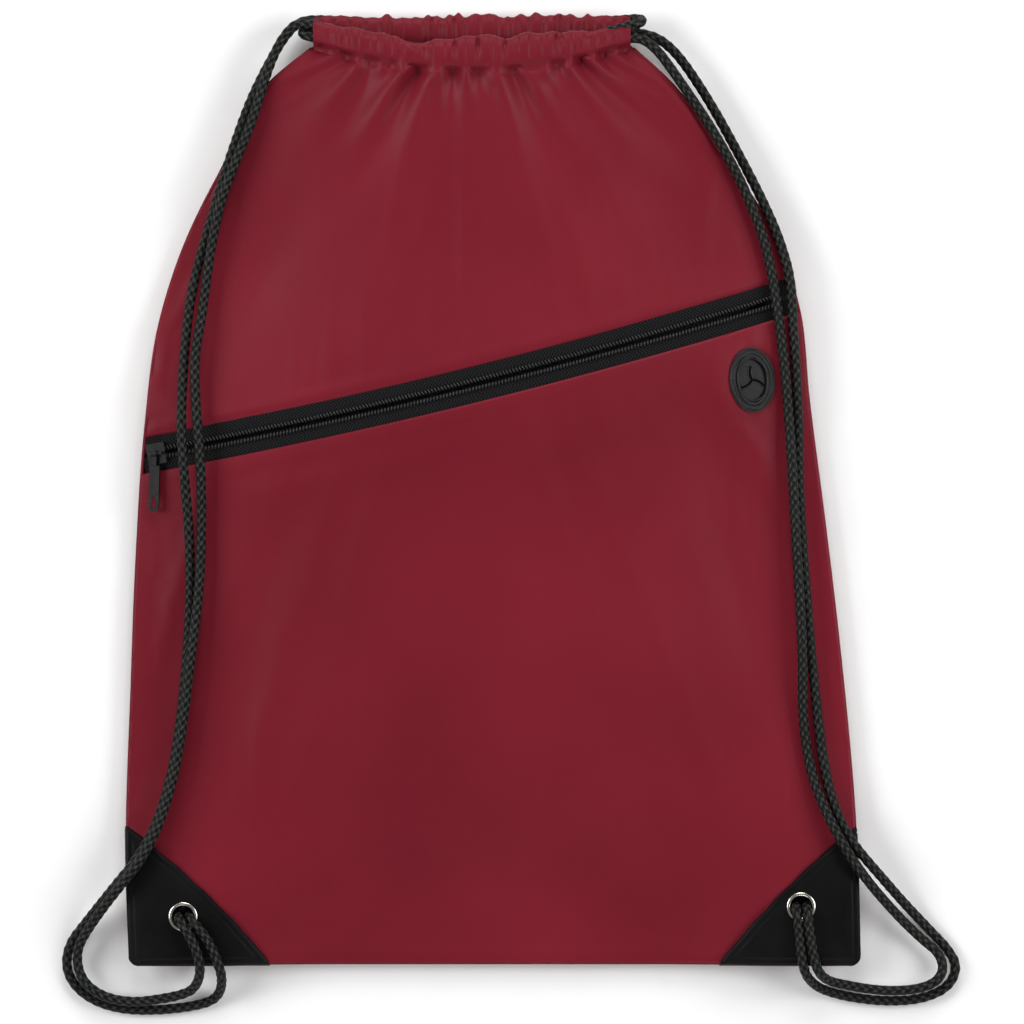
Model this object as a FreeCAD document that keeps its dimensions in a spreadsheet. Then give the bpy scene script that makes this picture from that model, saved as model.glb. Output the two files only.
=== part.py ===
import FreeCAD, Part

# Drawstring backpack lying on its back. Millimetres, +Z out of the front of the bag,
# +Y towards the mouth, +X to the right of a person looking at the front.
# Origin: middle of the bag's own box at the level of the surface it lies on.

import math
import os

import Sketcher
from FreeCAD import Placement, Rotation, Vector

doc = FreeCAD.newDocument("DrawstringBackpack")

# ---------------------------------------------------------------- driving dimensions

DIMENSIONS = [
    ("fabric_thick", 0.8, "one layer of coated polyester, hem folds averaged in"),
    ("lining_thick", 0.6, "pocket lining"),
    ("layer_gap", 0.3, "air between layers that are sewn together"),
    ("bag_crest", 23.0, "how far the light filling lifts the front"),
    ("pocket_depth", 7.0, "room in the front pocket at the middle"),
    ("edge_lift", 5.0, "height of the side and bottom seams over the surface"),
    ("corner_lift", 12.0, "height of the bottom corners, which lie on the cord knots"),
    ("flat_sink", 0.25, "how much of the back rests flat"),
    ("bottom_line", -220.5, "Y of the bottom seam"),
    ("corner_round", 4.0, "radius of the two bottom corners"),
    ("mouth_left", -84.0, "X of the left end of the gathered mouth"),
    ("mouth_right", 64.0, "X of the right end of the gathered mouth"),
    ("front_mouth_y", 212.0, "Y of the ends of the front channel"),
    ("front_mouth_dip", 11.5, "how far the front channel sags towards the bottom"),
    ("front_mouth_end", 17.3, "Z of the ends of the front channel"),
    ("front_mouth_rise", 8.2, "how far the middle of the front channel stands up"),
    ("front_mouth_seam", 14.0, "Z of the front panel's corners at the mouth"),
    ("back_mouth_y", 216.0, "Y of the ends of the back channel"),
    ("back_mouth_dip", 2.5, "how far the back channel sags towards the bottom"),
    ("back_mouth_end", 9.2, "Z of the ends of the back channel"),
    ("back_mouth_drop", 3.7, "how far the middle of the back channel lies lower"),
    ("back_mouth_seam", 11.6, "Z of the back panel's corners at the mouth"),
    ("channel_left", -80.0, "X of the left end of both channels"),
    ("channel_right", 60.0, "X of the right end of both channels"),
    ("channel_wide", 13.0, "flat width of a channel"),
    ("channel_tall", 7.6, "height of a channel with two cords in it"),
    ("channel_wall", 0.8, "folded fabric of a channel"),
    ("zip_left_x", -163.0, "X of the zipper's left end"),
    ("zip_left_y", 15.8, "Y of the zipper's left end"),
    ("zip_right_x", 137.0, "X of the zipper's right end"),
    ("zip_right_y", 89.9, "Y of the zipper's right end"),
    ("zip_end_level", 8.8, "Z of the underside of the tape at both ends"),
    ("zip_rise", 18.0, "how far the middle of the zipper stands higher"),
    ("zip_bow", 5.0, "how far the middle of the zipper bows towards the bottom"),
    ("tape_inner", 0.9, "tape's inner edge from the centre line"),
    ("tape_outer", 15.0, "tape's outer edge from the centre line"),
    ("tape_thick", 0.6, "zipper tape"),
    ("tape_base", 0.05, "tape's underside over the zipper's own line"),
    ("coil_inner", 0.65, "coil's inner edge from the centre line"),
    ("coil_outer", 3.0, "coil's outer edge from the centre line"),
    ("coil_thick", 1.4, "height of the coil over the tape"),
    ("panel_edge", 8.2, "folded panel edge from the zipper's centre line"),
    ("slider_long", 8.8, "slider body along the chain"),
    ("slider_wide", 9.8, "slider body across the chain"),
    ("slider_plate", 0.8, "thickness of the slider's plates"),
    ("slider_start", -147.5, "slider's place along the chord when the zipper is closed"),
    ("slider_end", 130.0, "slider's place along the chord when the zipper is open"),
    ("bar_round", 1.2, "diameter of the bar that holds the pull"),
    ("pull_ring", 3.0, "outer diameter of the pull's eye"),
    ("pull_bore", 1.9, "bore of the pull's eye"),
    ("pull_eye_wide", 1.6, "width of the pull's eye along the bar"),
    ("pull_turn", -12.3, "degrees the pull hangs askew from the chain's normal"),
    ("pull_wide", 4.8, "width of the pull tab"),
    ("pull_long", 27.0, "length of the pull tab from the bar"),
    ("pull_thick", 1.2, "thickness of the pull tab"),
    ("pull_slope", 0.0, "degrees the resting pull tab dips below the slider"),
    ("port_x", 119.8, "X of the earphone cable port"),
    ("port_y", 51.1, "Y of the earphone cable port"),
    ("port_wide", 21.8, "port's width"),
    ("port_high", 30.0, "port's height"),
    ("port_turn", 5.0, "degrees the port leans to the left"),
    ("port_slope", -0.24, "rise of the fabric across the port towards +X"),
    ("port_level", 15.2, "Z of the fabric's outside at the port's centre"),
    ("port_flange", 1.3, "thickness of the port's flange"),
    ("port_slit", 0.7, "width of the three curved slits"),
    ("eyelet_x_left", -144.1, "X of the left eyelet"),
    ("eyelet_y_left", -198.0, "Y of the left eyelet"),
    ("eyelet_x_right", 142.8, "X of the right eyelet"),
    ("eyelet_y_right", -193.4, "Y of the right eyelet"),
    ("eyelet_bore", 10.0, "eyelet's bore"),
    ("eyelet_barrel", 11.0, "outside of the eyelet's barrel"),
    ("eyelet_rim", 13.6, "outside of the eyelet's rolled rim"),
    ("eyelet_hole", 11.4, "hole punched through the layers"),
    ("patch_thick", 0.9, "corner patch with its folded edge"),
    ("patch_reach", 92.0, "patch along the bottom seam"),
    ("patch_climb", 62.0, "patch along the side seam"),
    ("cord_round", 4.8, "diameter of the braided cord"),
    ("knot_tall", 10.4, "height of the knot behind the eyelet"),
    ("knot_wide", 16.0, "width of the knot"),
]

sheet = doc.addObject("Spreadsheet::Sheet", "Sizes")
for row, (alias, value, note) in enumerate(DIMENSIONS, start=1):
    sheet.set("A%d" % row, alias)
    sheet.set("B%d" % row, str(value))
    sheet.set("C%d" % row, note)
    sheet.setAlias("B%d" % row, alias)
doc.recompute()


def size(alias):
    """A driving dimension, as the sheet holds it."""
    return float(sheet.get(alias))


# ---------------------------------------------------------------- outline of the bag

# Seam points from the bottom corner up to the mouth. The bag leans to the left.
LEFT_SEAM = [
    (-169.0, -215.0), (-170.8, -160.0), (-168.8, -92.0), (-166.5, -32.0), (-162.0, 32.0),
    (-155.4, 79.0), (-143.3, 116.0), (-125.2, 152.0), (-103.5, 190.0), (-84.5, 205.5),
]
RIGHT_SEAM = [
    (170.0, -213.0), (168.2, -150.0), (161.9, -79.0), (155.4, -23.0), (147.0, 42.0),
    (141.6, 88.0), (127.5, 125.4), (108.5, 153.3), (81.5, 190.4), (64.8, 205.5),
]


def seam_x(seam, y):
    """X of a side seam at height y, straight between its points."""
    for (x_low, y_low), (x_high, y_high) in zip(seam, seam[1:]):
        if y <= y_high:
            break
    share = (y - y_low) / (y_high - y_low)
    share = min(max(share, -0.2), 1.3)
    return x_low + share * (x_high - x_low)


def across(x, y):
    """Place between the side seams: -1 on the left seam, 1 on the right seam."""
    left = seam_x(LEFT_SEAM, y)
    right = seam_x(RIGHT_SEAM, y)
    return (2.0 * x - left - right) / (right - left)


def ease(value):
    """Smooth step from 0 to 1."""
    value = min(max(value, 0.0), 1.0)
    return value * value * (3.0 - 2.0 * value)


# ---------------------------------------------------------------- the zipper's arc

# The zipper is one circular arc. It rises with the filled front and bows a little
# towards the bottom, so its plane leans over by a small angle.
zip_left = Vector(size("zip_left_x"), size("zip_left_y"), size("zip_end_level"))
zip_right = Vector(size("zip_right_x"), size("zip_right_y"), size("zip_end_level"))
zip_chord = zip_right - zip_left
zip_half = zip_chord.Length / 2.0
zip_turn = math.atan2(zip_chord.y, zip_chord.x)
zip_middle = (zip_left + zip_right) / 2.0
zip_sagitta = math.hypot(size("zip_rise"), size("zip_bow"))
zip_radius = (zip_half ** 2 + zip_sagitta ** 2) / (2.0 * zip_sagitta)
zip_lean = math.atan2(size("zip_bow"), size("zip_rise"))
zip_along = Vector(math.cos(zip_turn), math.sin(zip_turn), 0.0)
zip_across = Vector(-math.sin(zip_turn), math.cos(zip_turn), 0.0)
zip_apex = zip_middle + Vector(0, 0, size("zip_rise")) - zip_across * size("zip_bow")


def zip_coordinates(x, y):
    """Distance along the zipper's chord from its middle, and distance across it."""
    offset = Vector(x, y, 0.0) - Vector(zip_middle.x, zip_middle.y, 0.0)
    return offset.dot(zip_along), offset.dot(zip_across)


def zip_drop(along):
    """How far the arc lies below its apex, measured in its own plane."""
    along = min(max(along, -1.25 * zip_half), 1.25 * zip_half)
    return zip_radius - math.sqrt(zip_radius ** 2 - along ** 2)


def zip_level(along):
    """Z of the tape's underside at this place along the chord."""
    return zip_apex.z - zip_drop(along) * math.cos(zip_lean)


def zip_offset(along):
    """Place across the chord of the zipper's centre line."""
    return (zip_drop(along) - zip_sagitta) * math.sin(zip_lean)


# ---------------------------------------------------------------- heights of the layers

EYELETS = {
    "left": (size("eyelet_x_left"), size("eyelet_y_left")),
    "right": (size("eyelet_x_right"), size("eyelet_y_right")),
}
PINCH_FLAT = 13.0      # the layers lie flat on each other this far from an eyelet
PINCH_REACH = 62.0     # and are back to their free shape this far out
MOUTH_START = 105.0    # Y where the bag starts to narrow towards its mouth
MOUTH_END = 203.0
EDGE_REACH = 16.0      # how fast the bottom seam lifts off the surface
BAND_FLAT = 16.0       # fabric beside the zipper follows its arc this far out
BAND_REACH = 60.0
BELLY_Y = 10.0         # Y of the fullest part of the bag
LINING_FREE = 8.0      # beyond this line the lining climbs to the upper panel
LINING_TOP = 30.0      # and is sewn to it here


def corner_hold(x, y):
    """1 at an eyelet, where everything is clamped together, 0 away from it."""
    near = min(math.hypot(x - ex, y - ey) for ex, ey in EYELETS.values())
    return 1.0 - ease((near - PINCH_FLAT) / PINCH_REACH)


def mouth_share(y):
    """0 in the body of the bag, 1 at the gathered mouth."""
    return ease((y - MOUTH_START) / (MOUTH_END - MOUTH_START))


def fullness(x, y):
    """How far the filling has lifted the front, from 0 at the seams to 1."""
    side = 1.0 - abs(across(x, y)) ** 2.2
    reach = BELLY_Y - size("bottom_line")
    low = 1.0 - max(0.0, (BELLY_Y - y) / reach) ** 2.6
    return side * low * (1.0 - corner_hold(x, y))


def back_level(x, y):
    """Z of the underside of the back panel."""
    place = across(x, y)
    side = min(abs(place), 1.2) ** 8
    low = math.exp(-((max(y - size("bottom_line"), 0.0)) / EDGE_REACH) ** 2)
    edge = size("edge_lift") * (1.0 - (1.0 - side) * (1.0 - low))
    lift = size("corner_lift")
    sink = size("flat_sink")
    body = (lift + sink) * (1.0 - (1.0 - edge / lift) * (1.0 - corner_hold(x, y))) - sink
    seam = size("back_mouth_seam")
    middle = size("back_mouth_end") - size("back_mouth_drop")
    mouth = seam + (middle - seam) * (1.0 - place * place)
    share = mouth_share(y)
    return body * (1.0 - share) + mouth * share


def port_plane(x):
    """Z of the flat place that the port sits on, at the outside of the fabric."""
    return size("port_level") + size("port_slope") * (x - size("port_x"))


def front_level(x, y):
    """Z of the underside of the front panels."""
    place = across(x, y)
    stack = size("fabric_thick") + size("lining_thick") + 2.0 * size("layer_gap")
    body = back_level(x, y) + stack + size("bag_crest") * fullness(x, y)
    seam = size("front_mouth_seam")
    middle = size("front_mouth_end") + size("front_mouth_rise")
    mouth = seam + (middle - seam) * (1.0 - place * place)
    share = mouth_share(y)
    level = body * (1.0 - share) + mouth * share
    along, sideways = zip_coordinates(x, y)
    out = abs(sideways - zip_offset(along))
    tape_top = zip_level(along) + size("tape_thick") + size("layer_gap") / 2.0
    band = 1.0 - ease((out - BAND_FLAT) / BAND_REACH)
    level = level * (1.0 - band) + tape_top * band
    near = math.hypot(x - size("port_x"), y - size("port_y"))
    seat = 1.0 - ease((near - 15.0) / 14.0)
    return level * (1.0 - seat) + (port_plane(x) - size("fabric_thick")) * seat


def lining_level(x, y):
    """Z of the underside of the pocket lining."""
    bottom = back_level(x, y) + size("fabric_thick") + size("layer_gap")
    free = bottom + (size("bag_crest") - size("pocket_depth")) * fullness(x, y)
    along, sideways = zip_coordinates(x, y)
    joined = front_level(x, y) - size("lining_thick") - size("layer_gap") / 2.0
    share = ease((sideways - zip_offset(along) - LINING_FREE) / (LINING_TOP - LINING_FREE))
    return free * (1.0 - share) + joined * share


# ---------------------------------------------------------------- sheets of fabric

SHEET_COLUMNS = [-225.0 + 12.5 * i for i in range(37)]
GRID_LOW = -325.0
GRID_HIGH = 245.0


def rows(first, last, step):
    """Evenly spaced rows from first to last."""
    count = max(2, round(abs(last - first) / step) + 1)
    return [first + (last - first) * i / (count - 1) for i in range(count)]


def sheet_face(level, row_offsets):
    """A smooth face through heights on a grid whose rows run beside the zipper."""
    grid = []
    for offset in row_offsets:
        line = []
        for along in SHEET_COLUMNS:
            follow = 1.0 - ease((abs(offset) - BAND_FLAT) / BAND_REACH)
            sideways = offset + zip_offset(along) * follow
            spot = zip_middle + zip_along * along + zip_across * sideways
            line.append(Vector(spot.x, spot.y, level(spot.x, spot.y)))
        grid.append(line)
    surface = Part.BSplineSurface()
    surface.interpolate(grid)
    return surface.toShape()


def arc_through(start, middle, end):
    return Part.Arc(Vector(*start), Vector(*middle), Vector(*end)).toShape()


def line_between(start, end):
    return Part.LineSegment(Vector(*start), Vector(*end)).toShape()


def seam_curve(seam, inset):
    """A smooth seam line, moved towards the inside of the bag by inset."""
    curve = Part.BSplineCurve()
    curve.interpolate([Vector(x + inset, y, 0.0) for x, y in seam])
    return curve.toShape()


def bag_outline(mouth_y, mouth_dip):
    """Closed outline of a panel, from the rounded bottom corners to its mouth edge."""
    bottom = size("bottom_line")
    bend = size("corner_round")
    left_x, left_y = LEFT_SEAM[0]
    right_x, right_y = RIGHT_SEAM[0]
    top_left = (LEFT_SEAM[-1][0], LEFT_SEAM[-1][1], 0.0)
    top_right = (RIGHT_SEAM[-1][0], RIGHT_SEAM[-1][1], 0.0)
    edge_left = (size("mouth_left"), mouth_y, 0.0)
    edge_right = (size("mouth_right"), mouth_y, 0.0)
    middle = ((edge_left[0] + edge_right[0]) / 2.0, mouth_y - mouth_dip, 0.0)
    slant = bend * (1.0 - math.sqrt(0.5))
    pieces = [
        seam_curve(LEFT_SEAM, 0.0),
        line_between((left_x, left_y, 0), (left_x, bottom + bend, 0)),
        arc_through((left_x, bottom + bend, 0), (left_x + slant, bottom + slant, 0),
                    (left_x + bend, bottom, 0)),
        line_between((left_x + bend, bottom, 0), (right_x - bend, bottom, 0)),
        arc_through((right_x - bend, bottom, 0), (right_x - slant, bottom + slant, 0),
                    (right_x, bottom + bend, 0)),
        line_between((right_x, bottom + bend, 0), (right_x, right_y, 0)),
        seam_curve(RIGHT_SEAM, 0.0),
        line_between(top_right, edge_right),
        arc_through(edge_right, middle, edge_left),
        line_between(edge_left, top_left),
    ]
    return Part.Wire(Part.__sortEdges__(pieces))


PRISM_LOW = -20.0
PRISM_TALL = 120.0


def prism(wire):
    """A tall upright solid over a closed outline."""
    face = Part.Face(wire)
    face.translate(Vector(0, 0, PRISM_LOW))
    return face.extrude(Vector(0, 0, PRISM_TALL))


def polygon_prism(points):
    corners = [Vector(x, y, 0.0) for x, y in points]
    return prism(Part.makePolygon(corners + corners[:1]))


def sheet_solid(face, thick, outline):
    """Fabric of this thickness over a face, cut to an outline."""
    return face.extrude(Vector(0, 0, thick)).common(prism(outline))


def eyelet_holes():
    """The two punched holes."""
    drills = []
    for x, y in EYELETS.values():
        base = Vector(x, y, PRISM_LOW)
        drills.append(Part.makeCylinder(size("eyelet_hole") / 2.0, PRISM_TALL, base))
    return Part.makeCompound(drills)


def port_placement(level):
    """Where the port's middle plane lies, tilted with the fabric."""
    spot = Vector(size("port_x"), size("port_y"), level)
    tilt = Rotation(Vector(0, 1, 0), -math.degrees(math.atan(size("port_slope"))))
    lean = Rotation(Vector(0, 0, 1), size("port_turn"))
    return Placement(spot, tilt.multiply(lean))


def oval_prism(wide, high, low, tall):
    """An upright oval solid about the origin, higher along Y than it is wide."""
    oval = Part.Ellipse(Vector(0, high / 2.0, 0), Vector(-wide / 2.0, 0, 0), Vector(0, 0, 0))
    face = Part.Face(Part.Wire(oval.toShape()))
    face.translate(Vector(0, 0, low))
    return face.extrude(Vector(0, 0, tall))


PORT_HOLE_WIDE = 15.6
PORT_HOLE_HIGH = 23.6
holes = eyelet_holes()
port_hole = oval_prism(PORT_HOLE_WIDE, PORT_HOLE_HIGH, -30.0, 60.0)
port_hole.Placement = port_placement(size("port_level"))

parts = []


def add_shape(label, shape):
    """A sub-part whose shape Part's own functions made."""
    feature = doc.addObject("Part::Feature", label)
    feature.Label = label
    solids = shape.Solids
    feature.Shape = solids[0] if len(solids) == 1 else shape
    parts.append(feature)
    return feature


# Back panel: rests flat in the middle and lifts at its seams and bottom corners.
channel_half = size("channel_wide") / 2.0 + size("layer_gap")
back_outline = bag_outline(size("back_mouth_y") - channel_half, size("back_mouth_dip"))
front_outline = bag_outline(size("front_mouth_y") - channel_half, size("front_mouth_dip"))
back_face = sheet_face(back_level, rows(GRID_LOW, GRID_HIGH, 12.5))
back_panel = sheet_solid(back_face, size("fabric_thick"), back_outline)
floor_block = Part.makeBox(500, 600, 30, Vector(-250, -300, -30))
add_shape("back_panel", back_panel.cut(floor_block).cut(holes))

# Front panels: their folded edges follow the zipper.
panel_edge = size("panel_edge")
upper_rows = [panel_edge, 12.0, 16.0, 22.0] + rows(32.0, GRID_HIGH, 12.5)
lower_rows = [-panel_edge, -12.0, -16.0, -22.0] + rows(-32.0, GRID_LOW, 12.5)
upper_face = sheet_face(front_level, upper_rows)
lower_face = sheet_face(front_level, lower_rows)
add_shape("front_upper_panel", sheet_solid(upper_face, size("fabric_thick"), front_outline))
lower_panel = sheet_solid(lower_face, size("fabric_thick"), front_outline)
add_shape("front_lower_panel", lower_panel.cut(holes).cut(port_hole))

# Pocket lining: from the bottom seam up to its joint with the upper panel.
lining_rows = [LINING_TOP, 25.0, 20.0, 14.0, 8.0, 0.0] + rows(-12.0, GRID_LOW, 12.5)
lining_face = sheet_face(lining_level, lining_rows)
lining = sheet_solid(lining_face, size("lining_thick"), front_outline)
add_shape("pocket_lining", lining.cut(holes))

# Corner patches: sewn on the outside of the lower panel only.
PATCH_BEYOND = 20.0     # the cutting triangle runs past the seams
patch_gap = size("fabric_thick") + size("layer_gap") / 2.0
for side in ("left", "right"):
    sign = -1.0 if side == "left" else 1.0
    corner_x = LEFT_SEAM[0][0] if side == "left" else RIGHT_SEAM[0][0]
    inner_x = corner_x - sign * size("patch_reach")
    beyond_x = corner_x + sign * PATCH_BEYOND
    slope = size("patch_climb") / size("patch_reach")
    low = size("bottom_line")
    high = low + size("patch_climb") + PATCH_BEYOND * slope
    cutter = polygon_prism([(beyond_x, low - PATCH_BEYOND), (inner_x, low - PATCH_BEYOND),
                            (inner_x, low), (beyond_x, high)])
    face = lower_face.copy()
    face.translate(Vector(0, 0, patch_gap))
    patch = face.extrude(Vector(0, 0, size("patch_thick")))
    patch = patch.common(prism(front_outline)).common(cutter)
    add_shape(side + "_corner_patch", patch.cut(holes))

# ---------------------------------------------------------------- bodies made of features


def new_body(label, placement):
    body = doc.addObject("PartDesign::Body", label)
    body.Label = label
    body.Placement = placement
    return body


def origin_plane(body, role):
    for feature in body.Origin.OriginFeatures:
        if feature.Role == role:
            return feature
    raise ValueError(role)


def new_sketch(body, role):
    sketch = body.newObject("Sketcher::SketchObject", body.Name + "_sketch")
    sketch.AttachmentSupport = [(origin_plane(body, role), "")]
    sketch.MapMode = "FlatFace"
    return sketch


def bind(sketch, kind, line, expression):
    """Bind the start of a line, along one sketch axis, to an expression."""
    value = sketch.evalExpression(expression)
    index = sketch.addConstraint(Sketcher.Constraint(kind, -1, 1, line, 1, value))
    sketch.setExpression("Constraints[%d]" % index, expression)


def profile(sketch, corners):
    """A closed outline whose corners are pairs of expressions over the sheet's cells."""
    points = [Vector(sketch.evalExpression(x), sketch.evalExpression(y), 0)
              for x, y in corners]
    first = sketch.GeometryCount
    count = len(corners)
    for start, end in zip(points, points[1:] + points[:1]):
        sketch.addGeometry(Part.LineSegment(start, end), False)
    for i in range(count):
        after = first + (i + 1) % count
        sketch.addConstraint(Sketcher.Constraint("Coincident", first + i, 2, after, 1))
    for i, (x, y) in enumerate(corners):
        bind(sketch, "DistanceX", first + i, x)
        bind(sketch, "DistanceY", first + i, y)


def rectangle(sketch, left, right, low, high):
    profile(sketch, [(left, low), (right, low), (right, high), (left, high)])


def arc_axis(sketch, radius, lean):
    """Construction line through the centre of a leaning arc; it becomes Axis0."""
    centre = Vector(radius * math.sin(lean), -radius * math.cos(lean), 0)
    along = Vector(math.cos(lean), math.sin(lean), 0)
    sketch.addGeometry(Part.LineSegment(centre, centre + along * 10.0), True)


def revolve(body, sketch, axis, degrees):
    feature = body.newObject("PartDesign::Revolution", body.Name + "_turned")
    feature.Profile = sketch
    feature.ReferenceAxis = (sketch, [axis])
    feature.Angle = degrees
    feature.Midplane = True
    body.Tip = feature
    return feature


def arc_degrees(radius, half):
    """Full opening angle of an arc over a chord of twice this half."""
    return 2.0 * math.degrees(math.asin(half / radius))


def arc_part(label, placement, radius, lean, degrees, outlines):
    """A strip or tube that follows an arc; outlines are drawn at the arc's apex."""
    body = new_body(label, placement)
    sketch = new_sketch(body, "YZ_Plane")
    for corners in outlines:
        rectangle(sketch, *corners)
    arc_axis(sketch, radius, lean)
    revolve(body, sketch, "Axis0", degrees)
    return body


# Channels: two hems with the drawcords inside, each gathered along an arc.


def channel(label, y, dip, end, rise):
    chord = size("channel_right") - size("channel_left")
    middle_x = (size("channel_right") + size("channel_left")) / 2.0
    sagitta = math.hypot(rise, dip)
    radius = (chord ** 2 / 4.0 + sagitta ** 2) / (2.0 * sagitta)
    apex = Placement(Vector(middle_x, y - dip, end + rise), Rotation())
    outer = ("-Sizes.channel_wide/2", "Sizes.channel_wide/2",
             "-Sizes.channel_tall/2", "Sizes.channel_tall/2")
    inner = ("-Sizes.channel_wide/2 + Sizes.channel_wall",
             "Sizes.channel_wide/2 - Sizes.channel_wall",
             "-Sizes.channel_tall/2 + Sizes.channel_wall",
             "Sizes.channel_tall/2 - Sizes.channel_wall")
    degrees = arc_degrees(radius, chord / 2.0)
    lean = math.atan2(dip, rise)
    parts.append(arc_part(label, apex, radius, lean, degrees, [outer, inner]))


channel("front_cord_channel", size("front_mouth_y"), size("front_mouth_dip"),
        size("front_mouth_end"), size("front_mouth_rise"))
channel("back_cord_channel", size("back_mouth_y"), size("back_mouth_dip"),
        size("back_mouth_end"), -size("back_mouth_drop"))

# Zipper: tapes and coils follow the arc, on both sides of its centre line.
zip_frame = Placement(zip_apex, Rotation(Vector(0, 0, 1), math.degrees(zip_turn)))
zip_degrees = arc_degrees(zip_radius, zip_half)
COIL_SHORTER = 0.9      # degrees that the coils stop short of the tapes' ends
tape_trim = doc.addObject("Part::Feature", "tape_trim")
tape_trim.Shape = prism(front_outline)
for label, sign in (("upper", ""), ("lower", "-")):
    tape = (sign + "Sizes.tape_inner", sign + "Sizes.tape_outer",
            "Sizes.tape_base", "Sizes.tape_base + Sizes.tape_thick")
    coil = (sign + "Sizes.coil_inner", sign + "Sizes.coil_outer",
            "Sizes.tape_base + Sizes.tape_thick + Sizes.tape_base",
            "Sizes.tape_base*2 + Sizes.tape_thick + Sizes.coil_thick")
    strip = arc_part(label + "_tape_strip", zip_frame, zip_radius, zip_lean, zip_degrees, [tape])
    trimmed = doc.addObject("Part::Common", label + "_zipper_tape")
    trimmed.Label = label + "_zipper_tape"
    trimmed.Base = strip
    trimmed.Tool = tape_trim
    parts.append(trimmed)
    parts.append(arc_part(label + "_zipper_coil", zip_frame, zip_radius, zip_lean,
                          zip_degrees - COIL_SHORTER, [coil]))


def zip_place(along):
    """Frame of the zipper at this place along its chord, turned about the arc's axis."""
    axis = zip_across * math.cos(zip_lean) + Vector(0, 0, math.sin(zip_lean))
    up = Vector(0, 0, math.cos(zip_lean)) - zip_across * math.sin(zip_lean)
    centre = zip_apex - up * zip_radius
    turn = Rotation(axis, math.degrees(math.asin(along / zip_radius)))
    swing = Placement(Vector(), turn, centre)
    return swing.multiply(zip_frame)


# ---------------------------------------------------------------- parts made of primitives


def box(name, x, y, z):
    """A box from three pairs of expressions: its low and high side along each axis."""
    block = doc.addObject("Part::Box", name)
    for side, axis, (low, high) in zip(("Length", "Width", "Height"), "xyz", (x, y, z)):
        block.setExpression(side, "(%s) - (%s)" % (high, low))
        block.setExpression("Placement.Base." + axis, low)
    return block


def rod(name, diameter, x_low, x_high, z):
    """A cylinder along X at height z."""
    bar = doc.addObject("Part::Cylinder", name)
    bar.setExpression("Radius", "(%s)/2" % diameter)
    bar.setExpression("Height", "(%s) - (%s)" % (x_high, x_low))
    bar.Placement = Placement(Vector(0, 0, 0), Rotation(Vector(0, 1, 0), 90))
    bar.setExpression("Placement.Base.x", x_low)
    bar.setExpression("Placement.Base.z", z)
    return bar


def joined(label, pieces, placement):
    """One solid from several primitives, as a sub-part of its own."""
    whole = doc.addObject("Part::MultiFuse", label)
    whole.Label = label
    whole.Shapes = pieces
    whole.Refine = True
    whole.Placement = placement
    parts.append(whole)
    return whole


# Slider: two plates round the coils, a post between them and a bar for the pull.
HALF_LONG = "Sizes.slider_long/2"
HALF_WIDE = "Sizes.slider_wide/2"
TOP_LOW = "(Sizes.tape_thick + Sizes.coil_thick + 0.4)"
TOP_HIGH = "(" + TOP_LOW + " + Sizes.slider_plate)"
BAR_LEVEL = "(" + TOP_HIGH + " + Sizes.pull_ring/2 + 0.15)"
slider_frame = zip_place(size("slider_start"))
slider_pieces = [
    box("slider_base", ("-" + HALF_LONG, HALF_LONG), ("-" + HALF_WIDE, HALF_WIDE),
        ("-0.3 - Sizes.slider_plate", "-0.3")),
    box("slider_top", ("-" + HALF_LONG, HALF_LONG), ("-" + HALF_WIDE, HALF_WIDE),
        (TOP_LOW, TOP_HIGH)),
    box("slider_post", ("-" + HALF_LONG + " + 0.4", "-" + HALF_LONG + " + 2.0"),
        ("-0.4", "0.4"), ("-0.4", TOP_LOW + " + 0.1")),
]
for name, low, high in (("slider_lip_upper", HALF_WIDE + " - 1.5", HALF_WIDE),
                        ("slider_lip_lower", "-" + HALF_WIDE, "-" + HALF_WIDE + " + 1.5")):
    slider_pieces.append(box(name, ("-" + HALF_LONG, HALF_LONG), (low, high),
                             ("Sizes.tape_thick + 0.35", TOP_LOW + " + 0.1")))
for name, low, high in (("slider_leg_front", "-3.4", "-2.2"), ("slider_leg_rear", "2.2", "3.4")):
    slider_pieces.append(box(name, (low, high), ("-0.6", "0.6"),
                             (TOP_HIGH + " - 0.1", BAR_LEVEL + " + 0.6")))
slider_pieces.append(rod("slider_bar", "Sizes.bar_round", "-3.0", "3.0", BAR_LEVEL))
slider = joined("zipper_slider", slider_pieces, slider_frame)

# Pull tab: an eye on the bar, a neck and a flat tab with an oval hole.
bar_level = slider.evalExpression(BAR_LEVEL)
pull_turn = Rotation(Vector(0, 0, 1), size("pull_turn"))
pull_dip = Rotation(Vector(1, 0, 0), size("pull_slope"))
pull_local = Placement(Vector(0, 0, bar_level), pull_turn.multiply(pull_dip))
pull_frame = slider_frame.multiply(pull_local)
EYE_HALF = "Sizes.pull_eye_wide/2"
TAB_END = "-Sizes.pull_long + Sizes.pull_wide/2"
THICK_HALF = "Sizes.pull_thick/2"
pull_solid = [
    rod("pull_eye", "Sizes.pull_ring", "-" + EYE_HALF, EYE_HALF, "0 * Sizes.pull_ring"),
    box("pull_neck", ("-" + EYE_HALF, EYE_HALF), ("-5.6", "-0.6"),
        ("-" + THICK_HALF, THICK_HALF)),
    box("pull_tab", ("-Sizes.pull_wide/2", "Sizes.pull_wide/2"), (TAB_END, "-5.5"),
        ("-" + THICK_HALF, THICK_HALF)),
]
tab_round = doc.addObject("Part::Cylinder", "pull_round")
tab_round.setExpression("Radius", "Sizes.pull_wide/2")
tab_round.setExpression("Height", "Sizes.pull_thick")
tab_round.setExpression("Placement.Base.y", TAB_END)
tab_round.setExpression("Placement.Base.z", "-" + THICK_HALF)
pull_solid.append(tab_round)
pull_whole = doc.addObject("Part::MultiFuse", "pull_whole")
pull_whole.Shapes = pull_solid
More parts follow.
